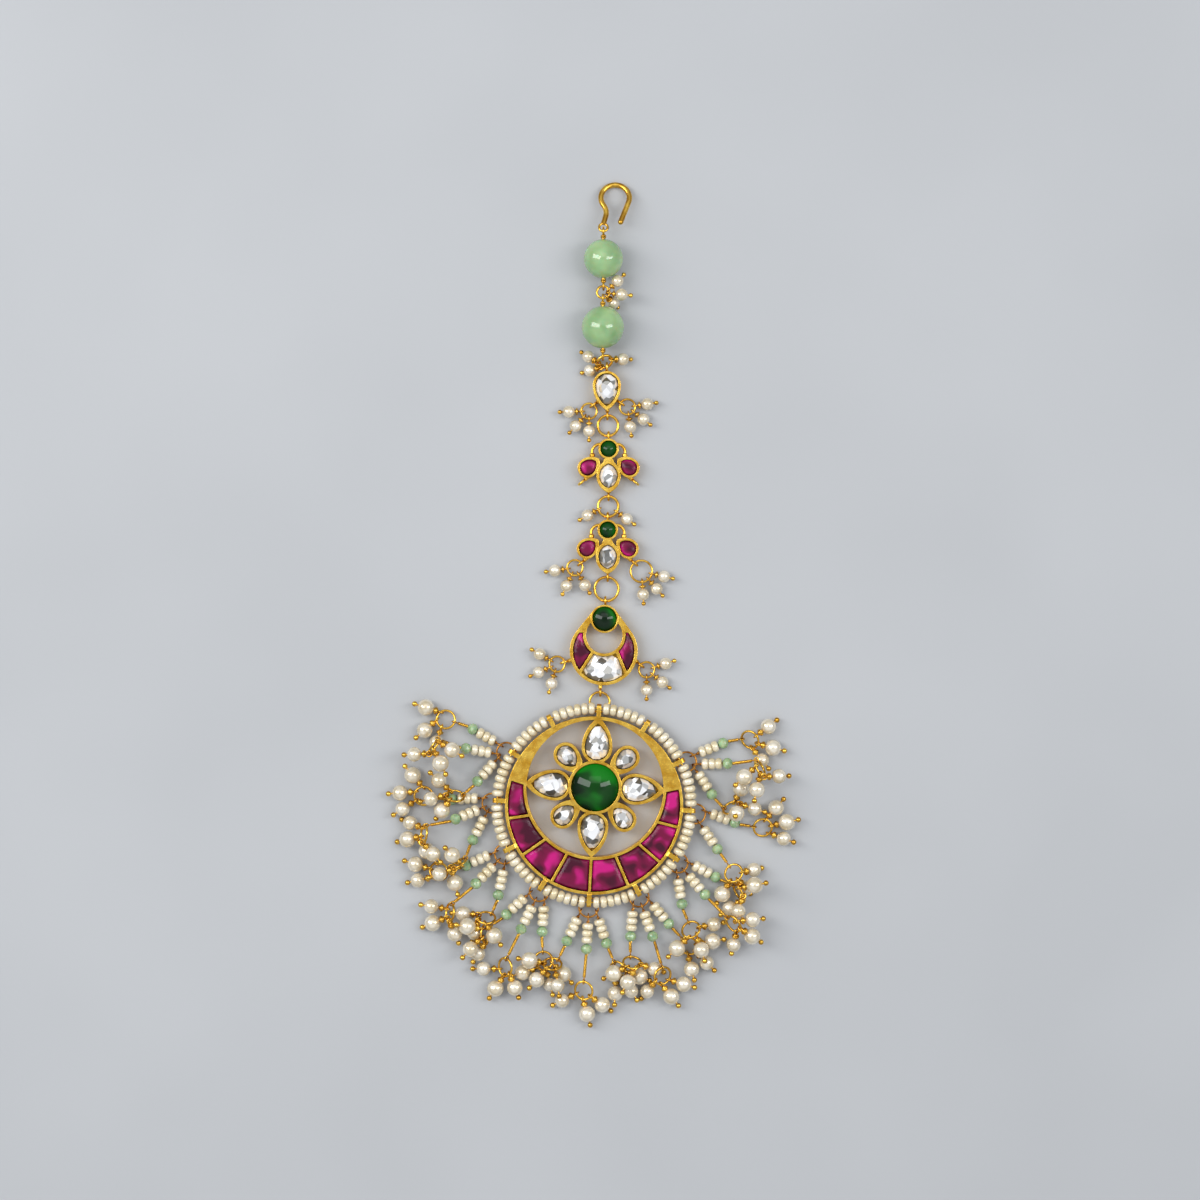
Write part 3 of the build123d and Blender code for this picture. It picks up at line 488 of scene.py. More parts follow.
class LoosePart:
    """One separate solid of a node: its corners and its edges."""

    def __init__(self, corners: Array, edges: Array) -> None:
        """Keep the solid.

        Args:
            corners: places of its corners.
            edges: pairs of corner numbers.
        """
        self.corners = corners
        self.edges = edges

    @staticmethod
    def split(node: str) -> list["LoosePart"]:
        """Separate a node into its solids.

        Args:
            node: the node's name.

        Returns:
            Its solids, in the order of their first corners.
        """
        mesh = bpy.data.objects[node].data
        places = np.zeros(len(mesh.vertices) * 3)
        mesh.vertices.foreach_get("co", places)
        places = places.reshape(-1, 3)
        rounded = np.round(places / SAME_PLACE)
        _, first, merged = np.unique(rounded, axis=0, return_index=True, return_inverse=True)
        merged = merged.reshape(-1)
        ends = np.zeros(len(mesh.edges) * 2, dtype=np.int32)
        mesh.edges.foreach_get("vertices", ends)
        edges = merged[ends.reshape(-1, 2)]
        corners = places[first]
        label = np.arange(len(corners))
        while True:
            low = np.minimum(label[edges[:, 0]], label[edges[:, 1]])
            fresh = label.copy()
            np.minimum.at(fresh, edges[:, 0], low)
            np.minimum.at(fresh, edges[:, 1], low)
            fresh = fresh[fresh]
            if (fresh == label).all():
                break
            label = fresh
        parts = []
        for name in np.unique(label):
            keep = np.nonzero(label == name)[0]
            number = np.full(len(corners), -1)
            number[keep] = np.arange(len(keep))
            inside = np.unique(np.sort(number[edges[label[edges[:, 0]] == name]], axis=1), axis=0)
            parts.append(LoosePart(corners[keep], inside))
        return parts

    def ring(self, chosen: Array | None = None) -> Circle:
        """Find the ring that some corners lie round.

        Args:
            chosen: which corners to use, or all of them.

        Returns:
            The ring's centre line.
        """
        places = self.corners if chosen is None else self.corners[chosen]
        middle = places.mean(0)
        across, along, normal = np.linalg.svd(places - middle, full_matrices=False)[2]
        flat = np.column_stack([(places - middle) @ across, (places - middle) @ along])
        unknown = np.column_stack([2 * flat, np.ones(len(flat))])
        x, y, rest = np.linalg.lstsq(unknown, (flat**2).sum(1), rcond=None)[0]
        return Circle(middle + x * across + y * along, normal, math.sqrt(rest + x * x + y * y))

    def ball(self, chosen: Array | None = None) -> tuple[Array, float]:
        """Find the ball that some corners lie on.

        Args:
            chosen: which corners to use, or all of them.

        Returns:
            Its centre and radius.
        """
        places = self.corners if chosen is None else self.corners[chosen]
        middle = places.mean(0)
        off = places - middle
        unknown = np.column_stack([2 * off, np.ones(len(off))])
        x, y, z, rest = np.linalg.lstsq(unknown, (off**2).sum(1), rcond=None)[0]
        return middle + (x, y, z), math.sqrt(rest + x * x + y * y + z * z)

    def tube(self, length: float, slack: float = 0.004 * MM) -> tuple[Array, Array]:
        """Find the two end centres of a round tube from its straight edges.

        Args:
            length: the tube's length.
            slack: how far an edge's length may be off.

        Returns:
            The centres of its two ends.
        """
        starts = self.corners[self.edges[:, 0]]
        ends = self.corners[self.edges[:, 1]]
        run = ends - starts
        straight = np.abs(np.linalg.norm(run, axis=1) - length) < slack
        starts, ends, run = starts[straight], ends[straight], run[straight]
        turned = run @ run[0] < 0
        low = np.where(turned[:, None], ends, starts)
        high = np.where(turned[:, None], starts, ends)
        return low.mean(0), high.mean(0)


# ---- repeated pieces
class Repeated(Enum):
    """What a tree puts on each point, or along each edge."""

    SEED_BEAD = "seed bead"
    CUT_BEAD = "cut bead"
    BALL = "ball"
    RING = "ring"
    WRAP = "wrap"
    WIRE = "wire"


@dataclass
class Tree:
    """A geometry tree that makes one kind of repeated piece.

    Attributes:
        kind: what it makes.
        finish: the material it gets.
        sizes: its named inputs, in metres or as plain numbers.
        group: the node tree, once built.
        given: the node that gives the tree's inputs, once built.
    """

    kind: Repeated
    finish: Material
    sizes: dict[str, float]
    group: NodeTree | None = None
    given: Node | None = None

    def build(self) -> NodeTree:
        """Make the tree with its named inputs.

        Returns:
            The tree.
        """
        self.group = bpy.data.node_groups.new(self.kind.value, "GeometryNodeTree")
        sockets = self.group.interface
        sockets.new_socket("Geometry", in_out="INPUT", socket_type="NodeSocketGeometry")
        for name in self.sizes:
            sockets.new_socket(name, in_out="INPUT", socket_type="NodeSocketFloat")
        sockets.new_socket("Geometry", in_out="OUTPUT", socket_type="NodeSocketGeometry")
        self.given = self.add("NodeGroupInput")
        made = self.wires() if self.kind is Repeated.WIRE else self.instances()
        smooth = {"Shade Smooth": self.kind is not Repeated.CUT_BEAD}
        shaded = self.add("GeometryNodeSetShadeSmooth", smooth, {0: made})
        dressed = self.add("GeometryNodeSetMaterial", {"Material": self.finish}, {"Geometry": shaded})
        self.add("NodeGroupOutput", links={0: dressed})
        return self.group

    def add(
        self,
        kind: str,
        values: dict[str, Any] | None = None,
        links: dict[str | int, Node | str] | None = None,
        settings: dict[str, Any] | None = None,
    ) -> Node:
        """Add one node to the tree.

        Args:
            kind: the node's type.
            values: constants for its input sockets.
            links: what feeds its input sockets: a node's first output, or one of the tree's named inputs.
            settings: the node's own properties.

        Returns:
            The new node.
        """
        sources = {
            name: self.given.outputs[source] if isinstance(source, str) else source.outputs[0]
            for name, source in (links or {}).items()
        }
        return add_node(self.group, kind, settings, values, sources)

    def circle(self, radius: str, steps: int) -> Node:
        """Add a circle.

        Args:
            radius: the named input that gives its radius.
            steps: straight runs round it.

        Returns:
            The node that gives the circle.
        """
        return self.add("GeometryNodeCurvePrimitiveCircle", {"Resolution": steps}, {"Radius": radius})

    def swept(self, path: Node, section: Node, caps: bool = True) -> Node:
        """Draw a section along a path.

        Args:
            path: the node that gives the path.
            section: the node that gives the section.
            caps: whether the ends are closed.

        Returns:
            The node that gives the mesh.
        """
        links = {"Curve": path, "Profile Curve": section}
        return self.add("GeometryNodeCurveToMesh", {"Fill Caps": caps}, links)

    def stretched(self, shape: Node, axis: str) -> Node:
        """Stretch a shape along one axis by the input named Length share.

        Args:
            shape: the node that gives the shape.
            axis: X, Y or Z.

        Returns:
            The node that gives the stretched shape.
        """
        others = {other: 1.0 for other in "XYZ" if other != axis}
        scale = self.add("ShaderNodeCombineXYZ", others, {axis: "Length share"})
        return self.add("GeometryNodeTransform", links={"Geometry": shape, "Scale": scale})

    def wires(self) -> Node:
        """Draw round wire along the edges.

        Returns:
            The node that gives the mesh.
        """
        path = self.add("GeometryNodeMeshToCurve", links={"Mesh": "Geometry"})
        made = self.swept(path, self.circle("Wire radius", 12))
        return self.add("GeometryNodeRealizeInstances", links={"Geometry": made})

    def pattern(self) -> Node:
        """Make the piece that is repeated, with its axis along z.

        Returns:
            The node that gives the piece.
        """
        if self.kind is Repeated.BALL:
            return self.add("GeometryNodeMeshUVSphere", {"Segments": 24, "Rings": 14, "Radius": 1.0})
        if self.kind is Repeated.CUT_BEAD:
            stone = self.add("GeometryNodeMeshIcoSphere", {"Subdivisions": 2}, {"Radius": "Bead radius"})
            return self.stretched(stone, "Z")
        if self.kind is Repeated.WRAP:
            path = self.add("GeometryNodeCurveSpiral", {"Resolution": 14}, {
                "Rotations": "Turns",
                "Start Radius": "Wrap radius",
                "End Radius": "Wrap radius",
                "Height": "Wrap length",
            })
            return self.swept(path, self.circle("Wire radius", 8))
        if self.kind is Repeated.RING:
            steps = {"Resolution": 40, "Sweep Angle": math.radians(359)}
            links = {"Radius": "Ring radius", "Start Angle": "Seam angle"}
            path = self.add("GeometryNodeCurveArc", steps, links)
            return self.swept(path, self.circle("Wire radius", 10))
        wall = self.stretched(self.circle("Wall radius", 12), "Y")
        return self.swept(self.circle("Middle radius", 22), wall, caps=False)

    def instances(self) -> Node:
        """Put the piece on every point, along the point's own axis and at its own size.

        Returns:
            The node that gives the mesh.
        """
        axis, size = (
            self.add("GeometryNodeInputNamedAttribute", {"Name": name}, settings={"data_type": kind})
            for name, kind in (("axis", "FLOAT_VECTOR"), ("size", "FLOAT"))
        )
        upright = self.add("FunctionNodeAlignRotationToVector", None, {"Vector": axis}, {"axis": "Z"})
        placed = self.add("GeometryNodeInstanceOnPoints", links={
            "Points": "Geometry",
            "Instance": self.pattern(),
            "Rotation": upright,
            "Scale": size,
        })
        return self.add("GeometryNodeRealizeInstances", links={"Geometry": placed})


@dataclass
class Scatter:
    """Points that carry repeated pieces.

    Attributes:
        places: the points.
        axes: a direction for each.
        sizes: a scale for each.
        edges: pairs of point numbers, for wire.
    """

    places: list[Array] = field(default_factory=list)
    axes: list[Array] = field(default_factory=list)
    sizes: list[float] = field(default_factory=list)
    edges: list[tuple[int, int]] = field(default_factory=list)

    def put(self, place: Array, axis: Array, size: float = 1.0) -> None:
        """Add one point.

        Args:
            place: where it is.
            axis: its direction.
            size: its scale.
        """
        self.places.append(np.asarray(place, dtype=float))
        self.axes.append(np.asarray(axis, dtype=float))
        self.sizes.append(size)

    def run(self, path: list[Array], closed: bool = False) -> None:
        """Add one path of edges.

        Args:
            path: its points in order.
            closed: whether its end meets its start.
        """
        first = len(self.places)
        for place in path:
            self.put(place, (0, 0, 1))
        self.edges += [(first + step, first + step + 1) for step in range(len(path) - 1)]
        if closed:
            self.edges.append((first + len(path) - 1, first))

    def grow(self, name: str, tree: Tree, slot: str, node: str) -> None:
        """Run a tree over the points and keep what it makes as a plain mesh of the ornament.

        Args:
            name: the piece's name.
            tree: the tree to run.
            slot: not used.
            node: the solid that it stands for.
        """
        points = bpy.data.meshes.new(name)
        points.from_pydata([tuple(place) for place in self.places], self.edges, [])
        for attribute, kind, values in (
            ("axis", "FLOAT_VECTOR", np.array(self.axes).ravel()),
            ("size", "FLOAT", np.array(self.sizes)),
        ):
            layer = points.attributes.new(attribute, kind, "POINT")
            layer.data.foreach_set("vector" if attribute == "axis" else "value", values.astype(np.float32))
        carrier = bpy.data.objects.new(name + "_points", points)
        bpy.context.collection.objects.link(carrier)
        group = tree.build()
        modifier = carrier.modifiers.new(name, "NODES")
        modifier.node_group = group
        for item in group.interface.items_tree:
            if item.in_out == "INPUT" and item.name in tree.sizes:
                modifier[item.identifier] = float(tree.sizes[item.name])
        graph = bpy.context.evaluated_depsgraph_get()
        mesh = bpy.data.meshes.new_from_object(carrier.evaluated_get(graph), depsgraph=graph)
        carrier.modifiers.clear()
        bpy.data.objects.remove(carrier)
        for layer in [layer for layer in mesh.attributes if layer.name in ("axis", "size")]:
            mesh.attributes.remove(layer)
        face_outwards(mesh)
        piece = bpy.data.objects.new(name, mesh)
        bpy.context.collection.objects.link(piece)
        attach(piece, BODY)
        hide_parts(node)
        LOG.info("%s: %d faces", name, len(mesh.polygons))


def face_outwards(mesh: bpy.types.Mesh) -> None:
    """Turn a closed mesh round if its faces point inwards.

    Args:
        mesh: the mesh.
    """
    mesh.calc_loop_triangles()
    corners = np.zeros(len(mesh.vertices) * 3)
    mesh.vertices.foreach_get("co", corners)
    corners = corners.reshape(-1, 3)
    numbers = np.zeros(len(mesh.loop_triangles) * 3, dtype=np.int32)
    mesh.loop_triangles.foreach_get("vertices", numbers)
    one, two, three = corners[numbers.reshape(-1, 3)].transpose(1, 0, 2)
    if (one * np.cross(two, three)).sum() < 0:
        mesh.flip_normals()


def seed_bead(finish: Material, radius: float, hole_radius: float, length: float) -> Tree:
    """Describe a round drilled bead.

    Args:
        finish: its material.
        radius: its outer radius.
        hole_radius: of its hole.
        length: along its hole.

    Returns:
        The tree that makes it.
    """
    wall = (radius - hole_radius) / 2
    sizes = {"Middle radius": hole_radius + wall, "Wall radius": wall, "Length share": length / 2 / wall}
    return Tree(Repeated.SEED_BEAD, finish, sizes)


def ring_of(finish: Material, radius: float, wire_radius: float, seam: float = 0.0) -> Tree:
    """Describe a ring of round wire with a seam.

    Args:
        finish: its material.
        radius: of its centre line.
        wire_radius: of its wire.
        seam: the angle at which its ends meet.

    Returns:
        The tree that makes it.
    """
    sizes = {"Ring radius": radius, "Wire radius": wire_radius, "Seam angle": seam}
    return Tree(Repeated.RING, finish, sizes)


def outward(angle: float) -> Array:
    """Give the level direction at an angle.

    Args:
        angle: from +X, in radians.

    Returns:
        A unit vector.
    """
    return np.array([math.cos(angle), math.sin(angle), 0.0])


# ---- the pieces
@dataclass
class Settings:
    """The cast settings and the stones that stay as they are and only get their finish."""

    finishes: Finishes

    def finish_of(self, node: str) -> Material:
        """Choose the finish of a node by its name.

        Args:
            node: the node's name.

        Returns:
            Its finish.
        """
        rules = (
            ("ruby", self.finishes.ruby),
            ("green", self.finishes.emerald),
            ("emerald", self.finishes.emerald),
            ("polki", self.finishes.polki),
            ("drop_stone", self.finishes.polki),
            ("jade", self.finishes.jade),
            ("wire", self.finishes.wire),
            ("hook", self.finishes.wire),
        )
        return next((finish for word, finish in rules if word in node), self.finishes.gold)

    def build(self, nodes: dict[str, bpy.types.Object]) -> None:
        """Dress every node.

        Args:
            nodes: the nodes by name.
        """
        for name, node in nodes.items():
            finish = self.finish_of(name)
            for slot in node.material_slots:
                slot.link = "OBJECT"
                slot.material = finish
            LOG.info("%s: %s", name, finish.name)


@dataclass
class RimString:
    """Seed beads threaded on one wire round the disc, in spans between its lugs.

    Attributes:
        spans: number of spans.
        beads: seed beads in each.
        pitch: from one bead to the next.
        lean: degrees that the disc leans clockwise.
        wire_step: degrees from one point of the wire to the next.
        tilt: how far a bead leans on the wire, as a share of 1.
        unevenness: how much smaller a bead may be, as a share of 1.
    """

    finishes: Finishes
    spans: int = 12
    beads: int = 6
    pitch: float = 1.27 * MM
    lean: float = 3.0
    wire_step: int = 3
    tilt: float = 0.05
    unevenness: float = 0.025
    bead_radius: float = 1.1 * MM
    bead_length: float = 1.2 * MM
    hole_radius: float = 0.22 * MM
    wire_radius: float = 0.15 * MM

    def build(self) -> None:
        """Thread the beads and draw the wire."""
        low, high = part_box("rim_seed_string")
        centre = np.array((low + high) / 2)
        radius = (high.x - low.x) / 2 - self.bead_radius
        beads, wire = Scatter(), Scatter()
        step = self.pitch / radius
        chance = np.random.default_rng(7)
        for span in range(self.spans):
            middle = math.radians(90 - self.lean - 360 / self.spans * (span + 0.5))
            for bead in range(self.beads):
                angle = middle + (bead - (self.beads - 1) / 2) * step
                along = outward(angle + math.pi / 2) + chance.normal(0, self.tilt, 3)
                size = 1 - abs(chance.normal(0, self.unevenness))
                beads.put(centre + outward(angle) * radius, along, size)
        turns = np.radians(np.arange(0, 360, self.wire_step))
        wire.run([centre + outward(turn) * radius for turn in turns], True)
        bead_tree = seed_bead(self.finishes.seed, self.bead_radius, self.hole_radius, self.bead_length)
        beads.grow("rim_seed_beads", bead_tree, "seed_bead", "rim_seed_string")
        round_wire = Tree(Repeated.WIRE, self.finishes.wire, {"Wire radius": self.wire_radius})
        wire.grow("rim_wire", round_wire, "gold_wire", "rim_seed_string")


@dataclass
class Rings:
    """Plain rings of round wire: the chain's jump rings, the clusters' and the fringe's small ones.

    Attributes:
        steps: straight runs round each ring.
        aslant: a direction that no ring's axis has.
    """

    finishes: Finishes
    steps: int = 48
    aslant: tuple[float, float, float] = (0.3, 0.9, 0.1)

    def build(self) -> None:
        """Draw a smooth ring in place of every ring solid."""
        for place in ("beads", "drop", "butterfly_1", "butterfly_2", "crescent", "disc"):
            self.redraw(f"ring_{place}", self.finishes.wire)
        self.redraw("cluster_rings", self.finishes.wire)
        self.redraw("fringe_hoops", self.finishes.toned)

    def redraw(self, node: str, finish: Material) -> None:
        """Replace one node of rings.

        Args:
            node: the node.
            finish: the material.
        """
        paths = Scatter()
        wire = 0.0
        for part in LoosePart.split(node):
            ring = part.ring()
            wire = float(np.ptp((part.corners - ring.centre) @ ring.normal) / 2)
            side = np.cross(ring.normal, self.aslant)
            side /= np.linalg.norm(side)
            other = np.cross(ring.normal, side)
            turns = np.arange(self.steps) * 2 * math.pi / self.steps
            spokes = [math.cos(turn) * side + math.sin(turn) * other for turn in turns]
            paths.run([ring.centre + ring.radius * spoke for spoke in spokes], True)
        round_wire = Tree(Repeated.WIRE, finish, {"Wire radius": wire})
        paths.grow(node + "_wire", round_wire, "gold", node)


@dataclass
class Pearls:
    """Smooth, slightly uneven pearls in place of the drilled balls."""

    finishes: Finishes
    unevenness: float = 0.015

    def build(self) -> None:
        """Put a pearl on every ball of each run."""
        for node in ("fringe_pearls_right", "fringe_pearls_bottom", "fringe_pearls_left", "cluster_pearls"):
            pearls = Scatter()
            chance = np.random.default_rng(len(node))
            for part in LoosePart.split(node):
                centre, radius = part.ball()
                axis = chance.normal(0, 1, 3)
                pearls.put(centre, axis, radius * (1 - abs(chance.normal(0, self.unevenness))))
            balls = Tree(Repeated.BALL, self.finishes.pearl, {})
            pearls.grow(node + "_lacquered", balls, "pearl", node)


@dataclass
class Pins:
    """Ball-ended pins that carry the pearls: a loop, a wrapped neck, a stem and a ball.

    Attributes:
        node: the node of pins.
        ball_radius: of the ball at the end.
        turns: of wrapping.
        wrap_start: from the loop's centre line to the first turn.
        wrap_pitch: from one turn to the next.
        end_reach: how far the loop and the ball reach from the pin's ends.
        ball_share: how far the ball's own corners reach, in its radii.
    """

    finishes: Finishes
    node: str
    ball_radius: float = 0.48 * MM
    turns: int = 3
    wire_radius: float = 0.15 * MM
    loop_radius: float = 0.5 * MM
    wrap_start: float = 0.15 * MM
    wrap_radius: float = 0.2 * MM
    wrap_pitch: float = 0.19 * MM
    wrap_wire_radius: float = 0.095 * MM
    end_reach: float = 1.2 * MM
    ball_share: float = 1.4

    def build(self) -> None:
        """Read each pin's line from its solid and draw it smooth."""
        loops, wraps, stems, balls = Scatter(), Scatter(), Scatter(), Scatter()
        for part in LoosePart.split(self.node):
            loop, ball = self.ends(part)
            axis = ball - loop.centre
            axis /= np.linalg.norm(axis)
            loops.put(loop.centre, loop.normal)
            wraps.put(loop.centre + axis * (self.loop_radius + self.wrap_start), axis)
            stems.run([loop.centre + axis * self.loop_radius, ball])
            balls.put(ball, axis, self.ball_radius)
        wire = self.finishes.wire
        wrap = {
            "Turns": self.turns,
            "Wrap radius": self.wrap_radius,
            "Wrap length": self.wrap_pitch * self.turns,
            "Wire radius": self.wrap_wire_radius,
        }
        for name, places, tree in (
            ("_loops", loops, ring_of(wire, self.loop_radius, self.wire_radius)),
            ("_wraps", wraps, Tree(Repeated.WRAP, wire, wrap)),
            ("_stems", stems, Tree(Repeated.WIRE, wire, {"Wire radius": self.wire_radius})),
            ("_balls", balls, Tree(Repeated.BALL, wire, {})),
        ):
            places.grow(self.node + name, tree, "gold_wire", self.node)

    def ends(self, part: LoosePart) -> tuple[Circle, Array]:
        """Find a pin's loop and its ball.

        Args:
            part: the pin's solid.

        Returns:
            The loop and the ball's centre.
        """
        middle = part.corners.mean(0)
        axis = np.linalg.svd(part.corners - middle, full_matrices=False)[2][0]
        along = (part.corners - middle) @ axis
        aside = np.linalg.norm(part.corners - middle - along[:, None] * axis, axis=1)
        near_top = along > along.max() - self.end_reach
        near_foot = along < along.min() + self.end_reach
        if aside[near_top].max() > aside[near_foot].max():
            along = -along
        loop = part.ring(along < along.min() + self.end_reach)
        ball, _ = part.ball(along > along.max() - self.ball_share * self.ball_radius)
        return loop, ball


@dataclass
class Strands:
    """Fringe strands: a wire loop, three seed beads, a cut green bead, a wrapped neck and a ring.

    Attributes:
        node: the node of strands.
        tube: length of the tube that stands for the beads.
        seed_length: length of a seed bead.
        green_length: length of the green bead.
        seeds: number of seed beads.
        loop_from: how far above the bead run the loop starts.
        ring_from: how far below the bead run the ring starts.
        neck_room: how far off the axis the ring's corners lie, unlike the neck's.
        tilt: how far a bead leans on its wire, as a share of 1.
        unevenness: how much smaller a bead may be, as a share of 1.
        ring_seam: the angle at which a ring's ends meet.
    """

    finishes: Finishes
    node: str
    tube: float = 5.5 * MM
    seed_length: float = 1.2 * MM
    green_length: float = 1.9 * MM
    seeds: int = 3
    seed_radius: float = 1.02 * MM
    hole_radius: float = 0.2 * MM
    loop_radius: float = 0.6 * MM
    ring_radius: float = 1.6 * MM
    eye_radius: float = 0.42 * MM
    green_radius: float = 1.03 * MM
    loop_wire_radius: float = 0.14 * MM
    ring_wire_radius: float = 0.21 * MM
    eye_wire_radius: float = 0.13 * MM
    stem_wire_radius: float = 0.12 * MM
    loop_from: float = 0.4 * MM
    ring_from: float = 1.1 * MM
    neck_room: float = 0.2 * MM
    tilt: float = 0.05
    unevenness: float = 0.02
    ring_seam: float = 2.0
    wrap_turns: int = 2
    wrap_length: float = 0.36 * MM
    wrap_radius: float = 0.2 * MM
    wrap_wire_radius: float = 0.1 * MM

    def build(self) -> None:
        """Read each strand's line from its solid and thread its pieces on it."""
        seeds, greens, loops, rings = Scatter(), Scatter(), Scatter(), Scatter()
        wraps, necks, stems, eyes = Scatter(), Scatter(), Scatter(), Scatter()
        chance = np.random.default_rng(11 + len(self.node))
        for part in LoosePart.split(self.node):
            start, end, loop, ring = self.line(part)
            axis = (end - start) / np.linalg.norm(end - start)
            for bead in range(self.seeds):
                along = axis + chance.normal(0, self.tilt, 3)
                size = 1 - abs(chance.normal(0, self.unevenness))
                seeds.put(start + axis * self.seed_length * (bead + 0.5), along, size)
            greens.put(end - axis * self.green_length / 2, axis + chance.normal(0, 0.8 * self.tilt, 3))
            loops.put(loop.centre, loop.normal)
            rings.put(ring.centre, ring.normal)
            inward = ring.centre - end
            inward -= ring.normal * float(np.dot(inward, ring.normal))
            inward /= np.linalg.norm(inward)
            foot = ring.centre - inward * ring.radius
            neck = (foot - end) / np.linalg.norm(foot - end)
            reach = float(np.linalg.norm(foot - end)) - self.eye_radius
            wraps.put(start - axis * self.wrap_length, axis)
            for wrap in range(int((reach - self.wrap_wire_radius) / self.wrap_length)):
                necks.put(end + neck * self.wrap_length * wrap, neck)
            eyes.put(foot, np.cross(ring.normal, inward))
            stems.run([loop.centre + axis * self.loop_radius, start, end, end + neck * reach])
        toned, wire = self.finishes.toned, self.finishes.wire
        wrap = {
            "Turns": self.wrap_turns,
            "Wrap radius": self.wrap_radius,
            "Wrap length": self.wrap_length,
            "Wire radius": self.wrap_wire_radius,
        }
        cut = {
            "Bead radius": self.green_radius,
            "Length share": self.green_length / 2 / self.green_radius,
        }
        bead_tree = seed_bead(self.finishes.seed, self.seed_radius, self.hole_radius, self.seed_length)
        for name, places, tree in (
            ("_seeds", seeds, bead_tree),
            ("_greens", greens, Tree(Repeated.CUT_BEAD, self.finishes.aventurine, cut)),
            ("_loops", loops, ring_of(toned, self.loop_radius, self.loop_wire_radius)),
            ("_rings", rings, ring_of(wire, self.ring_radius, self.ring_wire_radius, self.ring_seam)),
            ("_eyes", eyes, ring_of(wire, self.eye_radius, self.eye_wire_radius)),
            ("_stems", stems, Tree(Repeated.WIRE, toned, {"Wire radius": self.stem_wire_radius})),
            ("_wraps", wraps, Tree(Repeated.WRAP, toned, wrap)),
            ("_necks", necks, Tree(Repeated.WRAP, wire, wrap)),
        ):
            places.grow(self.node + name, tree, "strand", self.node)

    def line(self, part: LoosePart) -> tuple[Array, Array, Circle, Circle]:
        """Find a strand's bead run, its loop and its ring.

        Args:
            part: the strand's solid.

        Returns:
            The upper and lower end of the bead run, the loop and the ring.
        """
        start, end = part.tube(self.tube)
        axis = (end - start) / np.linalg.norm(end - start)
        along = (part.corners - start) @ axis
        if along.max() - self.tube < -along.min():
            start, end, axis = end, start, -axis
            along = (part.corners - start) @ axis
        aside = np.linalg.norm(part.corners - start - along[:, None] * axis, axis=1)
        loop = part.ring(along < -self.loop_from)
        ring = part.ring((along > self.tube + self.ring_from) & (aside > self.neck_room))
        return start, end, loop, ring


@dataclass(frozen=True)
class Lamp:
    """A soft rectangular light.

    Attributes:
        name: what it is.
        place: where it hangs.
        size: its width and height.
        power: in watts.
    """

    name: str
    place: tuple[float, float, float]
    size: tuple[float, float]
    power: float


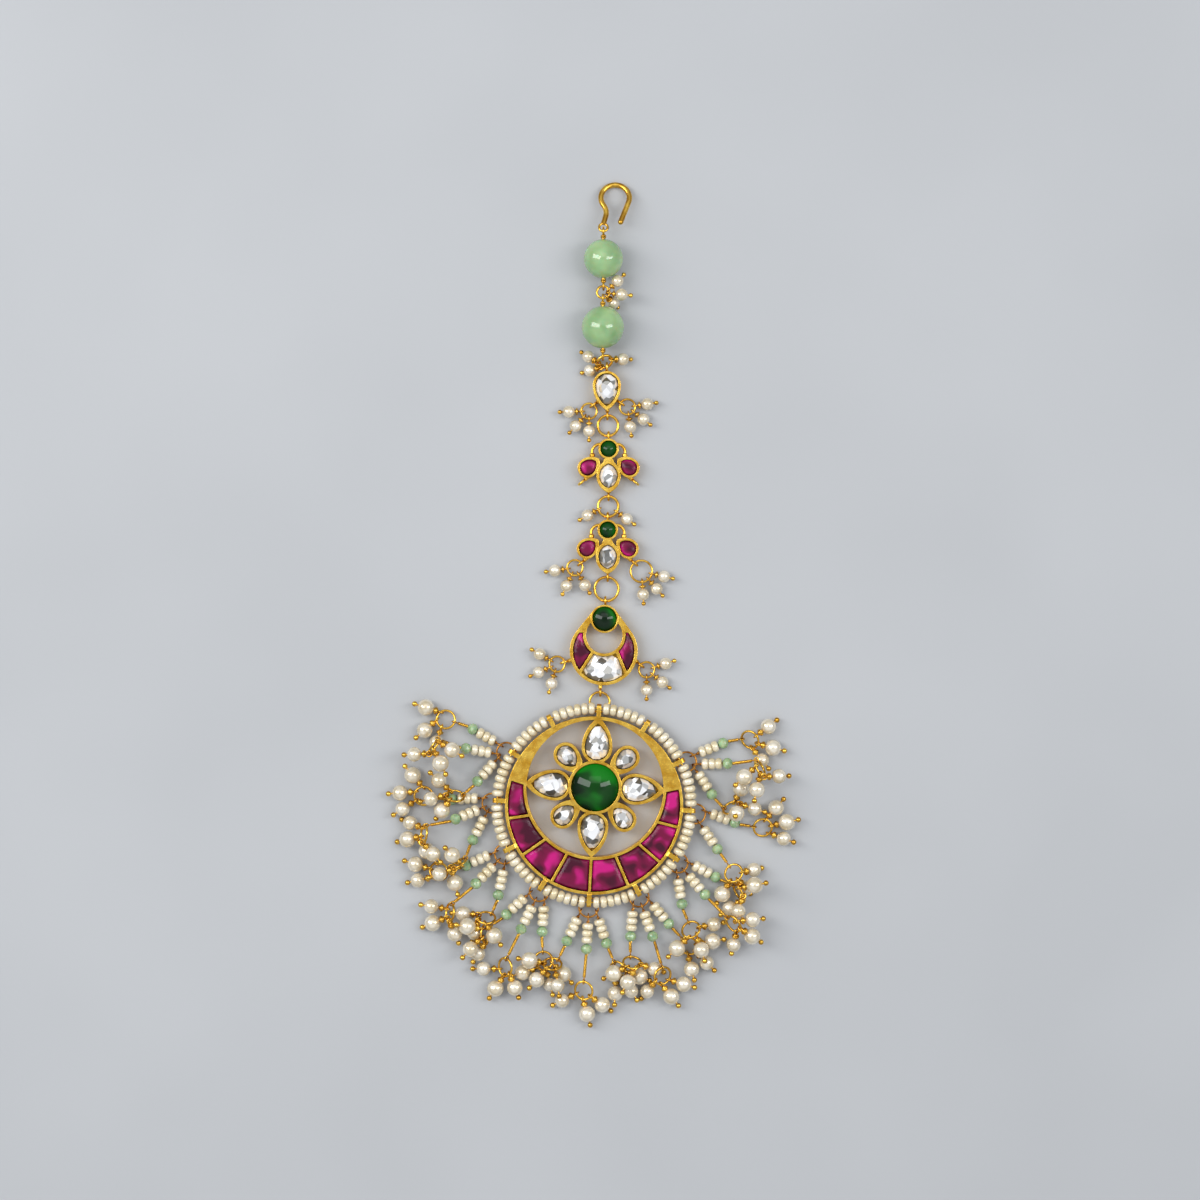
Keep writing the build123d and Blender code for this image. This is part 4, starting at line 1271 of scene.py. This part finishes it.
@dataclass
class Studio:
    """The pale surface, soft lights and the camera straight above.

    Attributes:
        camera_x: place of the camera across the ornament.
        camera_y: place of the camera along the ornament.
        view_width: width of the surface that the camera sees.
        floor_reach: half the surface's width.
        floor_gap: how far the surface lies under the ornament.
        lamps: the lights.
        sky: brightness of the room's air, from below to straight up.
    """

    finishes: Finishes
    camera_x: float = 1.05 * MM
    camera_y: float = 36.0 * MM
    view_width: float = 210.5 * MM
    lens_mm: float = 90.0
    sensor_mm: float = 36.0
    floor_reach: float = 1.5
    floor_gap: float = 0.05 * MM
    lamps: tuple[Lamp, ...] = (
        Lamp("window_left", (-0.35, 0.15, 0.42), (0.2, 0.5), 1.7),
        Lamp("window_right", (0.34, 0.1, 0.45), (0.14, 0.4), 1.0),
        Lamp("ceiling", (0.0, 0.3, 0.6), (0.5, 0.3), 0.4),
    )
    sky: tuple[tuple[float, float], ...] = ((0.1, 0.2), (0.55, 0.8), (0.85, 1.05), (0.985, 0.6))

    def build(self) -> None:
        """Set the scene."""
        self.floor()
        for lamp in self.lamps:
            self.hang(lamp)
        self.air()
        self.camera()
        bpy.context.scene.view_settings.view_transform = "Standard"

    def air(self) -> None:
        """Fill the room with soft light, dimmest straight below and straight above."""
        world = bpy.data.worlds.new("soft_room")
        world.use_nodes = True
        tree = world.node_tree
        background = tree.nodes["Background"]
        background.inputs["Color"].default_value = linear("#DFE2E8")
        place = add_node(tree, "ShaderNodeTexCoord")
        height = add_node(tree, "ShaderNodeSeparateXYZ", links={0: place.outputs["Generated"]})
        stops = tuple((position, (bright, bright, bright, 1.0)) for position, bright in self.sky)
        tree.links.new(add_ramp(tree, height.outputs["Z"], stops), background.inputs["Strength"])
        bpy.context.scene.world = world

    def floor(self) -> None:
        """Lay the pale surface."""
        mesh = bpy.data.meshes.new("backing")
        far, low = self.floor_reach, -self.floor_gap
        corners = [(-far, -far, low), (far, -far, low), (far, far, low), (-far, far, low)]
        mesh.from_pydata(corners, [], [(0, 1, 2, 3)])
        mesh.materials.append(self.finishes.paper)
        floor = bpy.data.objects.new("backing", mesh)
        bpy.context.collection.objects.link(floor)

    def hang(self, lamp: Lamp) -> None:
        """Hang one light that faces the ornament.

        Args:
            lamp: the light.
        """
        light = bpy.data.lights.new(lamp.name, "AREA")
        light.shape = "RECTANGLE"
        light.size, light.size_y = lamp.size
        light.energy = lamp.power
        hung = bpy.data.objects.new(lamp.name, light)
        hung.location = lamp.place
        away = Vector(lamp.place) - Vector((self.camera_x, self.camera_y / 2, 0.0))
        hung.rotation_euler = away.to_track_quat("Z", "Y").to_euler()
        bpy.context.collection.objects.link(hung)

    def camera(self) -> None:
        """Put the camera above, looking straight down, hook at the top."""
        lens = bpy.data.cameras.new("camera")
        lens.lens = self.lens_mm
        lens.sensor_width = self.sensor_mm
        lens.clip_start, lens.clip_end = 0.01, 10.0
        height = self.view_width / self.sensor_mm * self.lens_mm + 2 * MM
        camera = bpy.data.objects.new("camera", lens)
        camera.location = (self.camera_x, self.camera_y, height)
        bpy.context.collection.objects.link(camera)
        bpy.context.scene.camera = camera


def main() -> None:
    """Build the ornament and its scene."""
    logging.basicConfig(level=logging.INFO, format="%(name)s %(message)s")
    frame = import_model()
    finishes = Finishes()
    Settings(finishes).build(frame["nodes"])
    RimString(finishes).build()
    Rings(finishes).build()
    Pearls(finishes).build()
    for run in ("right", "bottom", "left"):
        Strands(finishes, f"fringe_strands_{run}").build()
        Pins(finishes, f"fringe_pins_{run}").build()
    Pins(finishes, "cluster_pins", ball_radius=0.4 * MM, turns=2).build()
    Studio(finishes).build()


if __name__ == "__main__":
    main()
